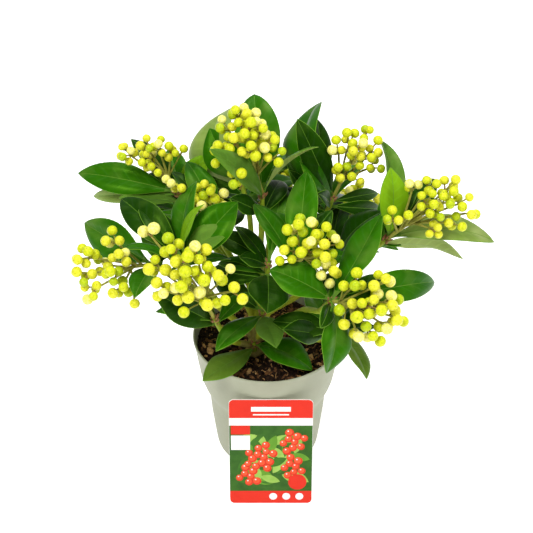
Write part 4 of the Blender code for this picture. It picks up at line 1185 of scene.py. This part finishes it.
def card_place(x, y, stand_off):
    """A point on the leaning card, from its width and height coordinates."""
    top = CARD_HEIGHT * math.cos(CARD_LEAN) + CARD_LIFT
    foot_y = -outside_radius(top) - CARD_HEIGHT * math.sin(CARD_LEAN) - CARD_THICKNESS - GAP
    up = Vector((0, math.sin(CARD_LEAN), math.cos(CARD_LEAN)))
    front = Vector((0, -math.cos(CARD_LEAN), math.sin(CARD_LEAN)))
    return Vector((CARD_SHIFT + x, foot_y, CARD_LIFT)) + up * y + front * (stand_off + CARD_THICKNESS / 2)


def round_outline(left, right, low, high, corner, steps=6):
    points = []
    for x, y, start in ((right - corner, high - corner, 0), (left + corner, high - corner, 90),
                        (left + corner, low + corner, 180), (right - corner, low + corner, 270)):
        for i in range(steps + 1):
            angle = math.radians(start + 90 * i / steps)
            points.append((x + corner * math.cos(angle), y + corner * math.sin(angle)))
    return points


def add_patch(blank, outline, stand_off, mark):
    """A flat printed shape on the card's face."""
    blank.add([card_place(x, y, stand_off) for x, y in outline], [tuple(range(len(outline)))], mark)


def disc_outline(x, y, radius):
    return [(x + radius * math.cos(a), y + radius * math.sin(a)) for a in (math.pi * i / 14 for i in range(28))]


def print_leaf(x, y, turn, length):
    """The outline of a small printed leaf."""
    outline = []
    for i in range(20):
        t = i / 10 if i < 10 else (20 - i) / 10
        side = (1 if i < 10 else -1) * length * 0.21 * math.sin(math.pi * t) ** 0.8
        along = (t - 0.5) * length
        outline.append((
            x + along * math.cos(turn) - side * math.sin(turn), y + along * math.sin(turn) + side * math.cos(turn)))
    return outline


def box_outline(left, right, low, high):
    return [(right, high), (left, high), (left, low), (right, low)]


def add_printed_berry(blank, x, y, index, rng):
    """A printed berry: a deep disc, a lighter one on it and a small gleam."""
    size = rng.uniform(0.0031, 0.0038)
    level = BERRY_INK + 0.000004 * index
    add_patch(blank, disc_outline(x, y, size), level, "card_berry")
    add_patch(blank, disc_outline(x - size * 0.12, y + size * 0.16, size * 0.76), level + 0.0000013, "card_orange")
    add_patch(blank, disc_outline(x - size * 0.3, y + size * 0.4, size * 0.18), level + 0.0000026, "card_white")


def make_card(rng):
    """The card: a red band with white bars, a field of leaves and berries, plain blocks and discs."""
    blank = Blank("picture_card_print", "card", [
        "card_white", "card_red", "card_green", "card_deep", "card_leaf", "card_light", "card_berry", "card_orange"])
    half = CARD_WIDTH / 2
    inner = half - PRINT_EDGE
    outline = round_outline(-half, half, 0, CARD_HEIGHT, CARD_CORNER, 8)
    count = len(outline)
    points = [card_place(x, y, 0) for x, y in outline] + [card_place(x, y, -CARD_THICKNESS) for x, y in outline]
    faces = [tuple(range(count)), tuple(reversed(range(count, 2 * count)))]
    faces += [(i, count + i, count + (i + 1) % count, (i + 1) % count) for i in range(count)]
    blank.add(points, faces, "card_white")
    band = CARD_HEIGHT - 0.0175
    top = round_outline(-inner, inner, band - 0.01, CARD_HEIGHT - PRINT_EDGE, CARD_CORNER, 8)
    add_patch(blank, [(x, max(y, band)) for x, y in top], FIELD_INK, "card_red")
    field_top = band - 0.0072
    add_patch(blank, box_outline(-inner, inner, 0.0120, field_top), FIELD_INK, "card_green")
    for index in range(PRINTED_LEAVES):
        x = rng.uniform(-half + 0.0105, half - 0.0105)
        y = 0.0225 + (field_top - 0.0330) * (index * 0.618 % 1)
        leaf = print_leaf(x, y, index * GOLDEN_TURN, rng.uniform(0.016, 0.021))
        add_patch(blank, leaf, LEAF_INK + 0.0000010 * index, ("card_leaf", "card_deep", "card_light")[index % 3])
    for x, y, count in PRINTED_SPRIGS:
        for index in range(count):
            reach, angle = 0.0037 * math.sqrt(index + 0.3), index * GOLDEN_TURN
            add_printed_berry(blank, x + reach * math.cos(angle), y + reach * math.sin(angle), index, rng)
    foot = round_outline(-inner, inner, PRINT_EDGE, 0.020, CARD_CORNER, 8)
    discs = [disc_outline(half - 0.033 + index * 0.0112, 0.0070, 0.0034) for index in range(3)]
    left, right = -half + 0.0015, -half + 0.0175
    for shape, ink, mark in [
            ([(x, min(y, 0.0125)) for x, y in foot], FOOT_INK, "card_red"),
            (box_outline(left, right, field_top - 0.0085, field_top), BLOCK_INK, "card_red"),
            (box_outline(left, right, field_top - 0.0235, field_top - 0.0095), BLOCK_INK, "card_white"),
            (disc_outline(half - 0.0125, 0.0215, 0.0078), BLOCK_INK, "card_red"),
            *[(disc, DISC_INK, "card_white") for disc in discs],
            (box_outline(-0.0165, 0.0165, band + 0.0062, band + 0.0106), BAR_INK, "card_white"),
            (box_outline(-0.0150, 0.0150, band + 0.0026, band + 0.0038), BAR_INK, "card_white")]:
        add_patch(blank, shape, ink, mark)
    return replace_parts(blank.make(smooth=False), "picture_card")


def make_plant():
    masses = grow_masses()
    rng = random.Random(SEED + 1)
    leaves = Blank("leaves", "shoots", ["d", "m", "l", "g", "o", "p", "under", "rib", "margin"])
    twigs = Blank("twigs", "shoots", ["stalk", "stalk_red", "bark_green", "scale"])
    berries = Blank("berries", "shoots", list(BERRY_TONES))
    scars = Blank("berry_scars", "shoots", ["scar"])
    stems = Blank("stems", "bark", ["bark_brown", "bark_tan", "bark_green"])
    leaf_trees = [tree for mass in masses for tree in mass.blade_trees]
    for mass in masses:
        stem = bent(mass.foot - mass.axis * 0.0005, mass.top, Vector((0, 0, 0)), 10)
        radii = [SHOOT_FOOT_RADIUS + (SHOOT_TIP_RADIUS - SHOOT_FOOT_RADIUS) * i / 10 for i in range(11)]
        add_tube(twigs, stem, radii, 12, "bark_green", GREEN_RELIEF, GREEN_LUMPS)
        add_leaf_scars(twigs, mass, rng)
        for leaf in mass.leaves:
            add_leaf(leaves, mass.leaf_base(leaf), leaf, rng)
        if mass.shoot.fruit:
            add_truss(mass, leaf_trees, twigs, berries, scars, rng)
    for route, radii in limb_routes():
        add_tube(stems, route, radii, 16, bark_at, BARK_RELIEF, BARK_LUMPS)
    for blank in (leaves, twigs, berries, scars):
        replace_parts(blank.make(), *SHOOT_NODES)
    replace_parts(stems.make(), "main_stem", *BOUGH_NODES)


# Camera, floor and light

CAMERA_AIM = (-0.0009, 0, 0.190)
CAMERA_RISE = math.radians(36)
CAMERA_DISTANCE = 0.95
LIGHT_AIM = (0, 0, 0.18)
LIGHTS = (  # name, place, size in metres and power in watts
    ("key", (-0.6, -0.8, 1.6), 0.6, 22),
    ("fill", (1.0, -0.7, 1.1), 0.8, 10),
    ("top", (0.1, 0.5, 1.6), 0.7, 10),
)
FLOOR_REACH = 6.0
FLOOR_GLOW = 0.55
WORLD_LIGHT = 0.4


def make_camera():
    data = bpy.data.cameras.new("camera")
    data.lens = 78.0
    data.sensor_width = 36.0
    camera = add_object("camera", data)
    back = Vector((0, -math.cos(CAMERA_RISE), math.sin(CAMERA_RISE)))
    camera.location = Vector(CAMERA_AIM) + back * CAMERA_DISTANCE
    camera.rotation_euler = (-back).to_track_quat("-Z", "Y").to_euler()
    bpy.context.scene.camera = camera


def make_lights():
    for name, place, size, power in LIGHTS:
        data = bpy.data.lights.new(name, "AREA")
        data.shape = "DISK"
        data.size = size
        data.energy = power
        light = add_object(name, data)
        light.location = place
        light.rotation_euler = (Vector(LIGHT_AIM) - Vector(place)).to_track_quat("-Z", "Y").to_euler()


def make_stage():
    mesh = bpy.data.meshes.new("floor")
    corners = [(x * FLOOR_REACH, y * FLOOR_REACH, 0) for x, y in ((-1, -1), (1, -1), (1, 1), (-1, 1))]
    mesh.from_pydata(corners, [], [(0, 1, 2, 3)])
    floor = add_object("floor", mesh)
    mat = bpy.data.materials.new("floor_white")
    mat.use_nodes = True
    shader = mat.node_tree.nodes["Principled BSDF"]
    shader.inputs["Base Color"].default_value = (0.92, 0.92, 0.92, 1)
    shader.inputs["Roughness"].default_value = 0.9
    shader.inputs["Emission Color"].default_value = WHITE
    shader.inputs["Emission Strength"].default_value = FLOOR_GLOW
    mesh.materials.append(mat)
    world = bpy.data.worlds.new("studio")
    world.use_nodes = True
    background = world.node_tree.nodes["Background"]
    background.inputs["Color"].default_value = WHITE
    background.inputs["Strength"].default_value = WORLD_LIGHT
    bpy.context.scene.world = world


bpy.context.scene.view_settings.view_transform = "Standard"
make_camera()
make_stage()
make_lights()
make_pot()
make_compost(random.Random(SEED + 2))
make_card(random.Random(SEED + 3))
make_plant()
